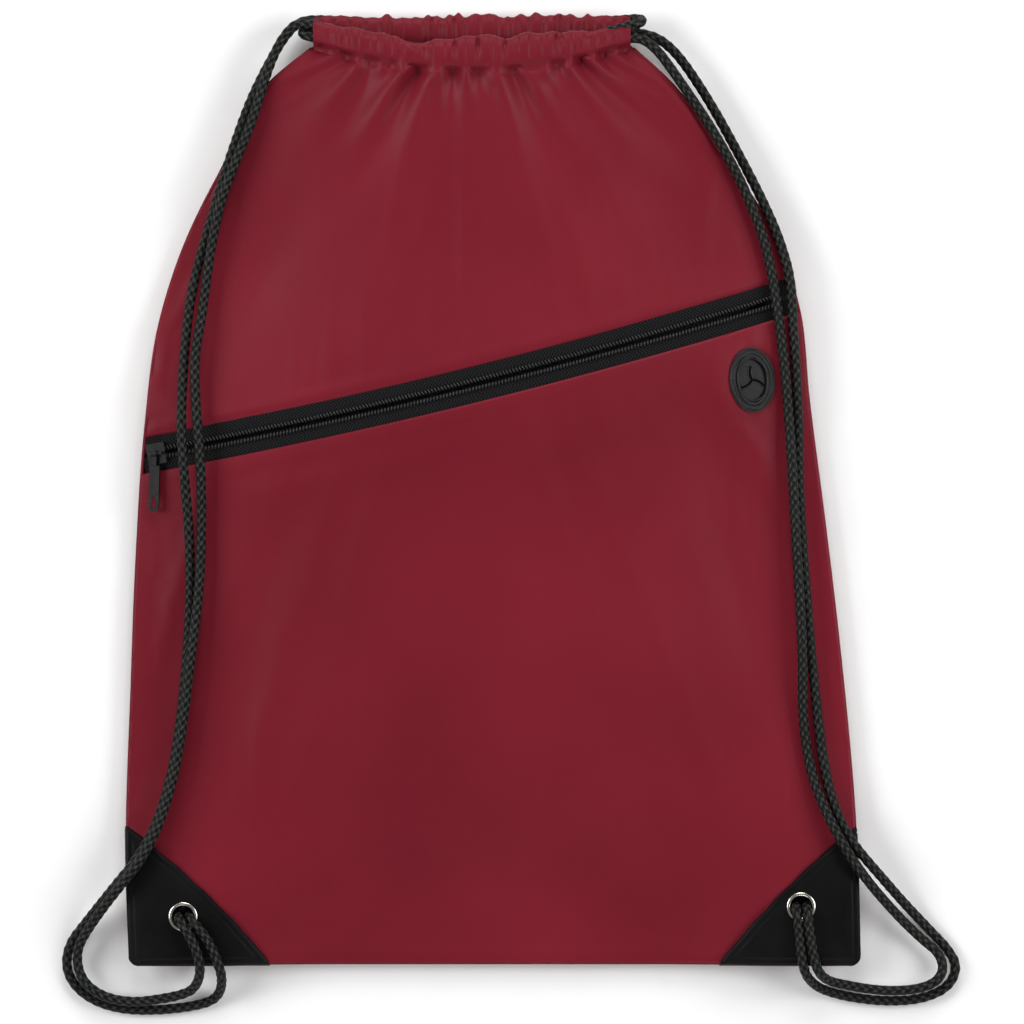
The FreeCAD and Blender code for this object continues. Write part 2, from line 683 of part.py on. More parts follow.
pull_hole = doc.addObject("Part::MultiFuse", "pull_holes")
finger_hole = box("pull_slot", ("-0.9", "0.9"), (TAB_END + " - 0.2", TAB_END + " + 3.8"),
                  ("-3", "3"))
hole_ends = []
for name, place in (("pull_slot_low", TAB_END + " - 0.2"), ("pull_slot_high", TAB_END + " + 3.8")):
    end = doc.addObject("Part::Cylinder", name)
    end.Radius = 0.9
    end.Height = 6.0
    end.setExpression("Placement.Base.y", place)
    end.Placement.Base.z = -3.0
    hole_ends.append(end)
bore = rod("pull_bore", "Sizes.pull_bore", "-5", "5", "0 * Sizes.pull_ring")
pull_hole.Shapes = [finger_hole, bore] + hole_ends
pull = doc.addObject("Part::Cut", "zipper_pull")
pull.Label = "zipper_pull"
pull.Base = pull_whole
pull.Tool = pull_hole
pull.Placement = pull_frame
parts.append(pull)

# Cable port: an oval rubber moulding with a flange, a raised ring and three slits.
port_frame = port_placement(size("port_level"))


def oval(name, wide, high, low, thick):
    """An oval block, higher along Y than it is wide."""
    ring = doc.addObject("Part::Ellipse", name + "_line")
    ring.setExpression("MajorRadius", "(%s)/2" % high)
    ring.setExpression("MinorRadius", "(%s)/2" % wide)
    ring.Placement = Placement(Vector(0, 0, low), Rotation(Vector(0, 0, 1), 90))
    block = doc.addObject("Part::Extrusion", name)
    block.Base = ring
    block.DirMode = "Custom"
    block.Dir = Vector(0, 0, 1)
    block.LengthFwd = thick
    block.Solid = True
    return block


FLANGE_LOW = 0.15
MEMBRANE_LOW = -0.7
MEMBRANE_HIGH = 0.6


def slit(turn):
    """A curved strip from the middle of the port to its ring."""
    reach = 6.4
    bend = 7.0
    half = size("port_slit") / 2.0
    middle = Vector(reach / 2.0, -math.sqrt(bend ** 2 - reach ** 2 / 4.0), 0)
    strip = Part.makeCylinder(bend + half, 6.0, middle - Vector(0, 0, 3.0))
    strip = strip.cut(Part.makeCylinder(bend - half, 6.0, middle - Vector(0, 0, 3.0)))
    strip = strip.common(Part.makeBox(reach, 8.0, 6.0, Vector(0, -1.0, -3.0)))
    strip.rotate(Vector(), Vector(0, 0, 1), turn)
    return strip


flange = oval("port_flange_block", "Sizes.port_wide", "Sizes.port_high", FLANGE_LOW,
              size("port_flange"))
ring = oval("port_ring_block", "Sizes.port_wide - 6.6", "Sizes.port_high - 6.6",
            MEMBRANE_LOW, size("port_flange") + FLANGE_LOW + 0.7 - MEMBRANE_LOW)
dish = oval("port_dish_block", "Sizes.port_wide - 8.6", "Sizes.port_high - 8.6",
            MEMBRANE_HIGH, 4.0)
port_block = doc.addObject("Part::MultiFuse", "port_block")
port_block.Shapes = [flange, ring]
carved = port_block
for number, tool in enumerate([dish] + [slit(turn) for turn in (90.0, 210.0, 330.0)]):
    if number > 0:
        strip = doc.addObject("Part::Feature", "port_slit_%d" % number)
        strip.Shape = tool
        tool = strip
    cut = doc.addObject("Part::Cut", "port_cut_%d" % number)
    cut.Base = carved
    cut.Tool = tool
    carved = cut
carved.Label = "earphone_port"
carved.Placement = port_frame
parts.append(carved)

# Eyelets: a rolled rim and barrel from the front, a washer behind, a knot under it.
patch_top = (size("corner_lift") + 2.0 * size("fabric_thick") + size("lining_thick")
             + 2.5 * size("layer_gap") + size("patch_thick"))
BORE = "Sizes.eyelet_bore/2"
BARREL = "Sizes.eyelet_barrel/2"
RIM = "Sizes.eyelet_rim/2"
STACK = "(-0.85 - Sizes.patch_thick - 2*Sizes.fabric_thick - Sizes.lining_thick - 3.5*Sizes.layer_gap)"
for side, (x, y) in EYELETS.items():
    body = new_body(side + "_eyelet", Placement(Vector(x, y, patch_top), Rotation()))
    sketch = new_sketch(body, "XZ_Plane")
    profile(sketch, [
        (BORE, STACK), (BARREL, STACK), (BARREL, "0.15"), (RIM, "0.15"), (RIM, "0.6"),
        (RIM + " - 0.5", "1.2"), (BORE + " + 0.5", "1.2"), (BORE, "0.7"),
    ])
    revolve(body, sketch, "V_Axis", 360.0)
    parts.append(body)
    washer = new_body(side + "_eyelet_washer", body.Placement)
    sketch = new_sketch(washer, "XZ_Plane")
    rectangle(sketch, BARREL + " + 0.1", RIM, STACK, STACK + " + 0.7")
    revolve(washer, sketch, "V_Axis", 360.0)
    parts.append(washer)
    knot = doc.addObject("Part::Ellipsoid", side + "_knot")
    knot.Label = side + "_knot"
    knot.setExpression("Radius1", "Sizes.knot_tall/2")
    knot.setExpression("Radius2", "Sizes.knot_wide/2")
    knot.setExpression("Radius3", "Sizes.knot_wide/2 - 1")
    knot.Placement = Placement(Vector(x, y, size("knot_tall") / 2.0), Rotation())
    parts.append(knot)

# ---------------------------------------------------------------- drawcords

# Each cord runs from its knot up through its eyelet, round the loop beside the bag, up
# along the side seam, through one channel, back through the other and down again.
LEFT_ROUTE = [
    # out of the eyelet and over the corner patch
    (-141.65, -198.0, 7.5), (-141.65, -198.0, 21.4), (-133.0, -207.0, 20.6),
    (-126.2, -222.5, 20.2), (-126.3, -232.0, 8.5), (-130.5, -238.0, 2.6),
    # loop on the surface and back onto the corner
    (-140.0, -240.6, 2.6), (-153.0, -242.2, 2.6), (-168.0, -242.6, 2.6), (-182.5, -239.9, 2.6),
    (-194.0, -233.0, 2.6), (-199.6, -223.0, 2.6), (-197.8, -211.5, 3.2), (-189.5, -201.0, 7.0),
    (-181.5, -191.0, 13.0), (-173.8, -181.5, 18.2), (-165.0, -171.0, 18.6),
    # up beside the side seam
    (-156.5, -155.5, 15.6), (-149.5, -133.0, 12.9), (-145.2, -106.0, 13.0),
    (-142.2, -76.0, 13.9), (-140.6, -45.0, 14.7), (-141.2, -18.0, 17.8), (-143.0, 3.0, 21.4),
    (-144.6, 25.0, 23.2), (-144.5, 45.0, 21.0), (-143.2, 65.0, 17.6), (-141.6, 84.0, 14.8),
    (-137.6, 104.0, 13.2), (-131.6, 124.0, 13.9), (-125.6, 144.0, 16.3), (-119.5, 162.0, 18.0),
    (-112.8, 181.0, 15.4), (-104.6, 198.0, 11.6), (-97.2, 211.2, 9.8), (-90.2, 218.2, 9.4),
    # through the back channel, round, and back through the front channel
    (-80.0, 218.9, 9.2), (-62.0, 217.6, 7.4), (-27.0, 216.3, 5.6), (7.0, 216.3, 5.6),
    (42.0, 217.6, 7.4), (60.0, 218.7, 9.2), (69.0, 219.4, 10.4), (69.0, 216.6, 17.6),
    (60.0, 214.7, 17.3), (42.0, 208.9, 21.5), (7.0, 203.2, 25.5), (-27.0, 203.2, 25.5),
    (-62.0, 208.9, 21.5), (-80.0, 214.7, 17.3), (-90.5, 217.3, 16.9),
    # down again, mostly on top of the first strand
    (-96.8, 211.4, 17.0), (-103.2, 199.5, 17.4), (-107.8, 184.5, 18.2), (-113.0, 168.0, 20.4),
    (-120.0, 151.0, 21.2), (-126.8, 133.0, 20.0), (-131.0, 113.0, 17.4), (-133.6, 95.0, 16.0),
    (-135.4, 80.0, 17.6), (-138.6, 62.0, 21.6), (-138.2, 44.0, 22.6), (-136.6, 25.0, 24.8),
    (-135.2, 3.0, 22.6), (-135.4, -18.0, 19.0), (-136.2, -45.0, 18.4), (-140.2, -76.0, 19.0),
    (-143.6, -106.0, 18.2), (-148.2, -133.0, 18.2), (-154.8, -155.5, 20.8),
    (-163.6, -172.0, 23.9), (-172.4, -182.8, 23.4), (-180.2, -192.6, 18.4),
    (-187.8, -203.0, 12.4), (-193.6, -212.5, 8.4), (-193.9, -222.0, 6.4), (-190.0, -230.2, 7.4),
    (-181.0, -236.2, 7.8), (-168.0, -238.6, 7.8), (-155.5, -237.0, 7.6), (-145.0, -235.0, 7.6),
    (-138.4, -231.4, 11.6), (-135.2, -222.0, 21.4), (-139.0, -209.0, 23.2),
    (-146.55, -198.0, 22.2), (-146.55, -198.0, 7.5),
]
RIGHT_ROUTE = [
    # out of the eyelet and over the corner patch
    (140.35, -193.4, 7.5), (140.35, -193.4, 21.0), (141.8, -206.0, 20.5),
    (143.4, -222.5, 20.2), (149.0, -230.5, 8.5), (158.0, -234.5, 2.6),
    # loop on the surface and back onto the corner
    (170.0, -237.0, 2.6), (185.0, -238.4, 2.6), (200.0, -237.2, 2.6), (212.2, -231.8, 2.6),
    (216.4, -222.0, 2.6), (211.4, -213.5, 2.6), (204.6, -206.5, 2.6), (197.5, -199.0, 3.4),
    (189.5, -190.5, 7.0), (181.8, -181.6, 13.0), (174.2, -173.0, 18.0), (165.6, -162.6, 17.9),
    # up beside the side seam
    (157.6, -146.0, 14.2), (153.6, -128.0, 12.0), (150.6, -104.0, 11.8), (147.8, -78.0, 12.3),
    (145.6, -50.0, 12.3), (143.4, -22.0, 12.2), (141.9, 6.0, 12.2), (141.7, 32.0, 12.9),
    (140.4, 58.0, 14.1), (138.9, 80.0, 15.0), (138.2, 98.0, 14.2), (132.8, 117.0, 13.0),
    (124.6, 135.5, 12.2), (115.4, 153.5, 10.8), (105.2, 172.5, 10.2), (94.6, 190.0, 9.8),
    (85.2, 203.2, 9.5), (77.0, 210.2, 9.4), (68.4, 212.6, 9.4),
    # through the back channel, round, and back through the front channel
    (60.0, 213.3, 9.2), (42.0, 212.1, 7.4), (7.0, 210.9, 5.6), (-27.0, 210.9, 5.6),
    (-62.0, 212.1, 7.4), (-80.0, 213.3, 9.2), (-88.6, 213.8, 10.2), (-88.6, 211.0, 17.6),
    (-80.0, 209.3, 17.3), (-62.0, 203.5, 21.5), (-27.0, 197.8, 25.5), (7.0, 197.8, 25.5),
    (42.0, 203.5, 21.5), (60.0, 209.3, 17.3), (69.0, 209.8, 16.9),
    # down again, beside or on top of the first strand
    (76.0, 204.2, 16.8), (82.2, 196.0, 16.4), (90.2, 184.4, 16.2), (98.4, 172.4, 16.4),
    (106.4, 159.0, 17.2), (113.4, 146.2, 16.4), (120.0, 131.5, 15.8), (126.0, 115.5, 15.4),
    (129.8, 98.0, 15.8), (132.4, 80.0, 16.2), (135.2, 58.0, 16.4), (137.2, 32.0, 16.2),
    (139.0, 6.0, 16.8), (140.4, -22.0, 16.8), (142.2, -50.0, 16.8), (143.6, -78.0, 16.4),
    (143.4, -104.0, 13.2), (146.6, -128.0, 12.9), (152.6, -146.0, 16.4), (160.4, -161.6, 20.8),
    (168.2, -174.0, 21.0), (175.2, -183.4, 17.4), (184.0, -193.6, 10.4), (192.6, -202.6, 6.4),
    (200.4, -209.9, 6.2), (207.0, -215.0, 7.2), (209.8, -222.3, 6.6), (206.8, -228.6, 7.4),
    (198.6, -232.2, 7.4), (185.6, -233.3, 7.2), (173.4, -232.2, 6.8), (163.4, -230.2, 7.6),
    (155.0, -228.2, 11.0), (149.4, -222.0, 20.4), (146.6, -206.0, 21.6),
    (145.25, -193.4, 21.0), (145.25, -193.4, 7.5),
]
ROUND_SHARE = 0.45     # each arc takes this share of the shorter run beside it


def rounded_path(points):
    """Straight runs joined by tangent arcs, each as large as its two runs allow."""
    corners = [Vector(*point) for point in points]
    edges = []
    radii = []
    start = corners[0]
    for before, corner, after in zip(corners, corners[1:], corners[2:]):
        inward = corner - before
        outward = after - corner
        turn = inward.getAngle(outward)
        reach = ROUND_SHARE * min(inward.Length, outward.Length)
        radii.append(reach / math.tan(turn / 2.0))
        inward.normalize()
        outward.normalize()
        begin = corner - inward * reach
        end = corner + outward * reach
        bisector = outward - inward
        bisector.normalize()
        inside = radii[-1] * (1.0 / math.cos(turn / 2.0) - 1.0)
        edges.append(Part.LineSegment(start, begin).toShape())
        edges.append(Part.Arc(begin, corner + bisector * inside, end).toShape())
        start = end
    edges.append(Part.LineSegment(start, corners[-1]).toShape())
    return Part.Wire(edges), radii


cord_paths = {}
for label, route in (("left_drawcord", LEFT_ROUTE), ("right_drawcord", RIGHT_ROUTE)):
    path, radii = rounded_path(route)
    first_edge = path.Edges[0]
    end_circle = Part.Circle(first_edge.valueAt(first_edge.FirstParameter),
                             first_edge.tangentAt(first_edge.FirstParameter),
                             size("cord_round") / 2.0)
    tube = path.makePipeShell([Part.Wire(end_circle.toShape())], True, False)
    add_shape(label, tube)
    cord_paths[label] = path
    section = math.pi * (size("cord_round") / 2.0) ** 2
    print("%s: length %.1f, volume over section times length %.4f" % (
        label, path.Length, tube.Volume / (section * path.Length)))
    print("  radii: " + " ".join("%.0f" % radius for radius in radii))

doc.recompute()

# ---------------------------------------------------------------- check and write

for item in doc.Objects:
    bad = [state for state in item.State if state in ("Invalid", "Error")]
    if bad:
        raise RuntimeError("%s is %s" % (item.Name, bad))
os.makedirs("parts", exist_ok=True)
for item in parts:
    shape = item.Shape
    if shape.isNull() or not shape.isValid() or not shape.Solids:
        raise RuntimeError("%s has no valid solid" % item.Label)
    shape.exportStep(os.path.join("parts", item.Label + ".step"))
    span = shape.BoundBox
    print("%-24s solids %d volume %9.1f  x %7.2f %7.2f  y %7.2f %7.2f  z %6.2f %6.2f" % (
        item.Label, len(shape.Solids), shape.Volume, span.XMin, span.XMax,
        span.YMin, span.YMax, span.ZMin, span.ZMax))
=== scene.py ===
"""Drawstring backpack on its back: soft fabric, braided cords, zipper, port and corners.

Everything is in metres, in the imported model's own frame: +X right, +Y to the mouth, +Z out
of the front.
"""
import math

import bmesh
import bpy
import numpy as np
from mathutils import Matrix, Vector
from mathutils.bvhtree import BVHTree


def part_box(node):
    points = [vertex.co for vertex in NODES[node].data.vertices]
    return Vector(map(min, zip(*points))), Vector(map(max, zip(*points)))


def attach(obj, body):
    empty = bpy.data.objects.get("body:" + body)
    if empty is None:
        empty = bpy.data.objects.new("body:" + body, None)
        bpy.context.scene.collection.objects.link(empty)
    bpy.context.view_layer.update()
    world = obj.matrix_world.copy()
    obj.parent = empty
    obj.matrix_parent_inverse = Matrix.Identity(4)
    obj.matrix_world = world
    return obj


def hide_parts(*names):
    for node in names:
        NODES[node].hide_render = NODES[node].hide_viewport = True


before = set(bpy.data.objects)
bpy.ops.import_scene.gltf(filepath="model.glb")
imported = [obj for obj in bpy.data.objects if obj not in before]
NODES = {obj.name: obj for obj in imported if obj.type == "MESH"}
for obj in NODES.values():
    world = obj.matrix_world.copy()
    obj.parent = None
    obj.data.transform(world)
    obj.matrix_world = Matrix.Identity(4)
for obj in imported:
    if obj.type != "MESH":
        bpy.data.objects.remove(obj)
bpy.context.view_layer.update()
MM = 0.001

# ---------------------------------------------------------------- driving sizes, in mm

BOTTOM = -220.5            # bottom seam
CORNER_ROUND = 4.0
CHANNEL_LEFT, CHANNEL_RIGHT = -80.0, 60.0
FRONT_MOUTH = (212.0, 11.5, 17.3, 8.2)     # Y of the ends, sag, Z of the ends, rise
BACK_MOUTH = (216.0, 2.5, 9.2, -3.7)
CHANNEL_WIDE, CHANNEL_TALL = 13.0, 7.6
ZIP_LEFT = np.array([-163.0, 15.8])
ZIP_RIGHT = np.array([137.0, 89.9])
ZIP_END_LEVEL, ZIP_RISE, ZIP_BOW = 8.8, 18.0, 5.0
PANEL_EDGE = 8.2           # folded panel edge from the zipper's centre line
FABRIC = 0.8               # thickness of the shell fabric
LINING_FABRIC = 0.4        # thickness of the pocket's lining
VINYL_SHEET = 0.7          # thickness of the corner patches
PORT_CLEAR, EYELET_CLEAR = 15.0, 9.0       # round the middles, where the fabric stays put
CORD = 4.8
LEFT_EYELET = (-144.1, -198.0)
RIGHT_EYELET = (142.8, -193.4)
PATCH_REACH, PATCH_CLIMB, PATCH_BOW = 65.0, 64.0, 3.0
PORT = (119.8, 51.1, 15.2)
PORT_WIDE, PORT_HIGH, PORT_TURN, PORT_SLOPE = 21.8, 30.0, 5.0, -0.24

# Side seams from the bottom corner up to the mouth.
LEFT_SEAM = [
    (-169.0, -215.0), (-170.8, -160.0), (-168.8, -92.0), (-166.5, -32.0), (-162.0, 32.0),
    (-155.4, 79.0), (-143.3, 116.0), (-125.2, 152.0), (-103.5, 190.0), (-84.5, 205.5),
]
RIGHT_SEAM = [
    (170.0, -213.0), (168.2, -150.0), (161.9, -79.0), (155.4, -23.0), (147.0, 42.0),
    (141.6, 88.0), (127.5, 125.4), (108.5, 153.3), (81.5, 190.4), (64.8, 205.5),
]

# Cord routes: up through the eyelet, round the loop, up the side, through one channel,
# back through the other and down again.
LEFT_ROUTE = [
    # out of the eyelet and over the corner patch
    (-0.14165, -0.198, 0.009), (-0.14165, -0.198, 0.0214), (-0.133, -0.207, 0.0206),
    (-0.1262, -0.2225, 0.0202), (-0.1263, -0.232, 0.0085), (-0.1305, -0.238, 0.0026),
    # loop on the surface and back onto the corner
    (-0.14, -0.2406, 0.0026), (-0.153, -0.2422, 0.0026), (-0.168, -0.2426, 0.0026),
    (-0.1825, -0.2399, 0.0026),
    (-0.194, -0.233, 0.0026), (-0.1996, -0.223, 0.0026), (-0.1978, -0.2115, 0.0032),
    (-0.1895, -0.201, 0.007),
    (-0.1815, -0.191, 0.013), (-0.1738, -0.1815, 0.0182), (-0.165, -0.171, 0.0186),
    # up beside the side seam
    (-0.1565, -0.1555, 0.0156), (-0.1495, -0.133, 0.0129), (-0.1452, -0.106, 0.013),
    (-0.1422, -0.076, 0.0139), (-0.1406, -0.045, 0.0147), (-0.1412, -0.018, 0.0178), (-0.143, 0.003, 0.0214),
    (-0.1446, 0.025, 0.0232), (-0.1445, 0.045, 0.021), (-0.1432, 0.065, 0.0176), (-0.1416, 0.084, 0.0148),
    (-0.1376, 0.104, 0.0132), (-0.1316, 0.124, 0.0139), (-0.1256, 0.144, 0.0163), (-0.1195, 0.162, 0.018),
    (-0.1128, 0.181, 0.0154), (-0.1046, 0.198, 0.0116), (-0.0972, 0.2112, 0.0098), (-0.0902, 0.2182, 0.0094),
    # through the back channel, round, and back through the front channel
    (-0.08, 0.2189, 0.0092), (-0.062, 0.2176, 0.0074), (-0.027, 0.2163, 0.0056), (0.007, 0.2163, 0.0056),
    (0.042, 0.2176, 0.0074), (0.06, 0.2187, 0.0092), (0.069, 0.2194, 0.0104), (0.069, 0.2166, 0.0176),
    (0.06, 0.2147, 0.0173), (0.042, 0.2089, 0.0215), (0.007, 0.2032, 0.0255), (-0.027, 0.2032, 0.0255),
    (-0.062, 0.2089, 0.0215), (-0.08, 0.2147, 0.0173), (-0.0905, 0.2173, 0.0169),
    # down again, mostly on top of the first strand
    (-0.0968, 0.2114, 0.017), (-0.1032, 0.1995, 0.0174), (-0.1078, 0.1845, 0.0182), (-0.113, 0.168, 0.0204),
    (-0.12, 0.151, 0.0212), (-0.1268, 0.133, 0.02), (-0.131, 0.113, 0.0174), (-0.1336, 0.095, 0.016),
    (-0.1354, 0.08, 0.0176), (-0.1386, 0.062, 0.0216), (-0.1382, 0.044, 0.0226), (-0.1366, 0.025, 0.0248),
    (-0.1352, 0.003, 0.0226), (-0.1354, -0.018, 0.019), (-0.1362, -0.045, 0.0184), (-0.1402, -0.076, 0.019),
    (-0.1436, -0.106, 0.0182), (-0.1482, -0.133, 0.0182), (-0.1548, -0.1555, 0.0208),
    (-0.1636, -0.172, 0.0239), (-0.1724, -0.1828, 0.0234), (-0.1802, -0.1926, 0.0184),
    (-0.1878, -0.203, 0.0124), (-0.1936, -0.2125, 0.0084), (-0.1939, -0.222, 0.0064),
    (-0.19, -0.2302, 0.0074),
    (-0.181, -0.2362, 0.0078), (-0.168, -0.2386, 0.0078), (-0.1555, -0.237, 0.0076),
    (-0.145, -0.235, 0.0076),
    (-0.1384, -0.2314, 0.0116), (-0.1352, -0.222, 0.0214), (-0.139, -0.209, 0.0232),
    (-0.14655, -0.198, 0.0222), (-0.14655, -0.198, 0.009),
]
RIGHT_ROUTE = [
    # out of the eyelet and over the corner patch
    (0.14035, -0.1934, 0.009), (0.14035, -0.1934, 0.021), (0.1418, -0.206, 0.0205),
    (0.1434, -0.2225, 0.0202), (0.149, -0.2305, 0.0085), (0.158, -0.2345, 0.0026),
    # loop on the surface and back onto the corner
    (0.17, -0.237, 0.0026), (0.185, -0.2384, 0.0026), (0.2, -0.2372, 0.0026), (0.2122, -0.2318, 0.0026),
    (0.2164, -0.222, 0.0026), (0.2114, -0.2135, 0.0026), (0.2046, -0.2065, 0.0026), (0.1975, -0.199, 0.0034),
    (0.1895, -0.1905, 0.007), (0.1818, -0.1816, 0.013), (0.1742, -0.173, 0.018), (0.1656, -0.1626, 0.0179),
    # up beside the side seam
    (0.1576, -0.146, 0.0142), (0.1536, -0.128, 0.012), (0.1506, -0.104, 0.0118), (0.1478, -0.078, 0.0123),
    (0.1456, -0.05, 0.0123), (0.1434, -0.022, 0.0122), (0.1419, 0.006, 0.0122), (0.1417, 0.032, 0.0129),
    (0.1404, 0.058, 0.0141), (0.1389, 0.08, 0.015), (0.1382, 0.098, 0.0142), (0.1328, 0.117, 0.013),
    (0.1246, 0.1355, 0.0122), (0.1154, 0.1535, 0.0108), (0.1052, 0.1725, 0.0102), (0.0946, 0.19, 0.0098),
    (0.0852, 0.2032, 0.0095), (0.077, 0.2102, 0.0094), (0.0684, 0.2126, 0.0094),
    # through the back channel, round, and back through the front channel
    (0.06, 0.2133, 0.0092), (0.042, 0.2121, 0.0074), (0.007, 0.2109, 0.0056), (-0.027, 0.2109, 0.0056),
    (-0.062, 0.2121, 0.0074), (-0.08, 0.2133, 0.0092), (-0.0886, 0.2138, 0.0102), (-0.0886, 0.211, 0.0176),
    (-0.08, 0.2093, 0.0173), (-0.062, 0.2035, 0.0215), (-0.027, 0.1978, 0.0255), (0.007, 0.1978, 0.0255),
    (0.042, 0.2035, 0.0215), (0.06, 0.2093, 0.0173), (0.069, 0.2098, 0.0169),
    # down again, beside or on top of the first strand
    (0.076, 0.2042, 0.0168), (0.0822, 0.196, 0.0164), (0.0902, 0.1844, 0.0162), (0.0984, 0.1724, 0.0164),
    (0.1064, 0.159, 0.0172), (0.1134, 0.1462, 0.0164), (0.12, 0.1315, 0.0158), (0.126, 0.1155, 0.0154),
    (0.1298, 0.098, 0.0158), (0.1324, 0.08, 0.0162), (0.1352, 0.058, 0.0164), (0.1372, 0.032, 0.0162),
    (0.139, 0.006, 0.0168), (0.1404, -0.022, 0.0168), (0.1422, -0.05, 0.0168), (0.1436, -0.078, 0.0164),
    (0.1434, -0.104, 0.0132), (0.1466, -0.128, 0.0129), (0.1526, -0.146, 0.0164), (0.1604, -0.1616, 0.0208),
    (0.1682, -0.174, 0.021), (0.1752, -0.1834, 0.0174), (0.184, -0.1936, 0.0104), (0.1926, -0.2026, 0.0064),
    (0.2004, -0.2099, 0.0062), (0.207, -0.215, 0.0072), (0.2098, -0.2223, 0.0066), (0.2068, -0.2286, 0.0074),
    (0.1986, -0.2322, 0.0074), (0.1856, -0.2333, 0.0072), (0.1734, -0.2322, 0.0068),
    (0.1634, -0.2302, 0.0076),
    (0.155, -0.2282, 0.011), (0.1494, -0.222, 0.0204), (0.1466, -0.206, 0.0216),
    (0.14525, -0.1934, 0.021), (0.14525, -0.1934, 0.009),
]

# ---------------------------------------------------------------- small helpers


def smooth(value):
    """Smooth step from 0 to 1, for numbers and arrays."""
    value = np.clip(value, 0.0, 1.0)
    return value * value * (3.0 - 2.0 * value)


def smooth_line(points):
    """X as a smooth function of Y through a seam's points."""
    ys = np.array([y for _, y in points])
    xs = np.array([x for x, _ in points])
    slopes = np.gradient(xs, ys)

    def at(y):
        y = np.clip(y, ys[0] - 8.0, ys[-1] + 8.0)
        index = np.clip(np.searchsorted(ys, y) - 1, 0, len(ys) - 2)
        step = ys[index + 1] - ys[index]
        t = (y - ys[index]) / step
        return ((2 * t ** 3 - 3 * t ** 2 + 1) * xs[index] + (3 * t ** 2 - 2 * t ** 3) * xs[index + 1]
                + (t ** 3 - 2 * t ** 2 + t) * step * slopes[index]
                + (t ** 3 - t ** 2) * step * slopes[index + 1])
    return at


left_seam = smooth_line(LEFT_SEAM)
right_seam = smooth_line(RIGHT_SEAM)

# The zipper's arc
zip_chord = ZIP_RIGHT - ZIP_LEFT
zip_half = np.linalg.norm(zip_chord) / 2.0
zip_turn = math.atan2(zip_chord[1], zip_chord[0])
zip_along = np.array([math.cos(zip_turn), math.sin(zip_turn)])
zip_across = np.array([-math.sin(zip_turn), math.cos(zip_turn)])
zip_middle = (ZIP_LEFT + ZIP_RIGHT) / 2.0
zip_sagitta = math.hypot(ZIP_RISE, ZIP_BOW)
zip_radius = (zip_half ** 2 + zip_sagitta ** 2) / (2.0 * zip_sagitta)
zip_lean = math.atan2(ZIP_BOW, ZIP_RISE)


def zip_drop(along):
    along = np.clip(along, -1.25 * zip_half, 1.25 * zip_half)
    return zip_radius - np.sqrt(zip_radius ** 2 - along ** 2)


def zip_level(along):
    """Z of the tape's underside."""
    return ZIP_END_LEVEL + ZIP_RISE - zip_drop(along) * math.cos(zip_lean)


def zip_offset(along):
    """Place of the centre line across the chord."""
    return (zip_drop(along) - zip_sagitta) * math.sin(zip_lean)


def zip_place(x, y):
    """Distance along the chord from its middle, and distance from the centre line."""
    along = (x - zip_middle[0]) * zip_along[0] + (y - zip_middle[1]) * zip_along[1]
    sideways = (x - zip_middle[0]) * zip_across[0] + (y - zip_middle[1]) * zip_across[1]
    return along, sideways - zip_offset(along)


def zip_point(along, sideways, height):
    """A point beside the zipper: metres, from its arc's own directions."""
    offset = zip_offset(along) + sideways
    x = zip_middle[0] + zip_along[0] * along + zip_across[0] * offset
    y = zip_middle[1] + zip_along[1] * along + zip_across[1] * offset
    return np.array([x, y, zip_level(along) + height]) * MM


def fold_line_y(x, sideways):
    """Y of a line that runs beside the zipper at this distance."""
    y = zip_middle[1] + (x - zip_middle[0]) * math.tan(zip_turn)
    for _ in range(6):
        _, off = zip_place(x, y)
        y = y + (sideways - off) / math.cos(zip_turn)
    return y


def new_object(name, verts, faces, body="bag"):
    """A mesh object that rides on a body; its points are already in place."""
    mesh = bpy.data.meshes.new(name)
    mesh.from_pydata([tuple(v) for v in verts], [], faces)
    mesh.update()
    piece = bpy.data.objects.new(name, mesh)
    bpy.context.scene.collection.objects.link(piece)
    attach(piece, body)
    return piece


def shade_smooth(piece):
    piece.data.polygons.foreach_set("use_smooth", [True] * len(piece.data.polygons))


def grid_faces(rows, columns, close_rows=False, close_columns=False):
    """Quads of a grid whose points are stored row by row."""
    faces = []
    for i in range(rows if close_rows else rows - 1):
        for j in range(columns if close_columns else columns - 1):
            a = i * columns + j
            b = i * columns + (j + 1) % columns
            c = ((i + 1) % rows) * columns + (j + 1) % columns
            d = ((i + 1) % rows) * columns + j
            faces.append((a, b, c, d))
    return faces


def apply_modifiers(piece):
    """Puts the modifiers' result into the mesh."""
    graph = bpy.context.evaluated_depsgraph_get()
    made = bpy.data.meshes.new_from_object(piece.evaluated_get(graph))
    piece.modifiers.clear()
    piece.data = made


# ---------------------------------------------------------------- heights from the frame


def node_trees():
    """A search tree of every CAD node, made before any of them is hidden."""
    graph = bpy.context.evaluated_depsgraph_get()
    return {name: BVHTree.FromObject(node, graph) for name, node in NODES.items()}


TREES = node_trees()


class Surface:
    """Height of a CAD node's upper or lower side."""

    def __init__(self, *nodes, top=True):
        self.trees = [TREES[node] for node in nodes]
        self.top = top

    def height(self, x, y):
        sign = 1.0 if self.top else -1.0
        start = Vector((x * MM, y * MM, 0.2 * sign))
        best = None
        for tree in self.trees:
            hit, _, _, _ = tree.ray_cast(start, Vector((0, 0, -sign)))
            if hit is not None and (best is None or (hit.z - best) * sign > 0):
                best = hit.z
        if best is None:
            near = [tree.find_nearest(Vector((x * MM, y * MM, 0.01))) for tree in self.trees]
            best = min(near, key=lambda found: found[3])[0].z
        return best / MM

    def heights(self, xs, ys):
        flat = [self.height(x, y) for x, y in zip(xs.ravel(), ys.ravel())]
        return np.array(flat).reshape(xs.shape)


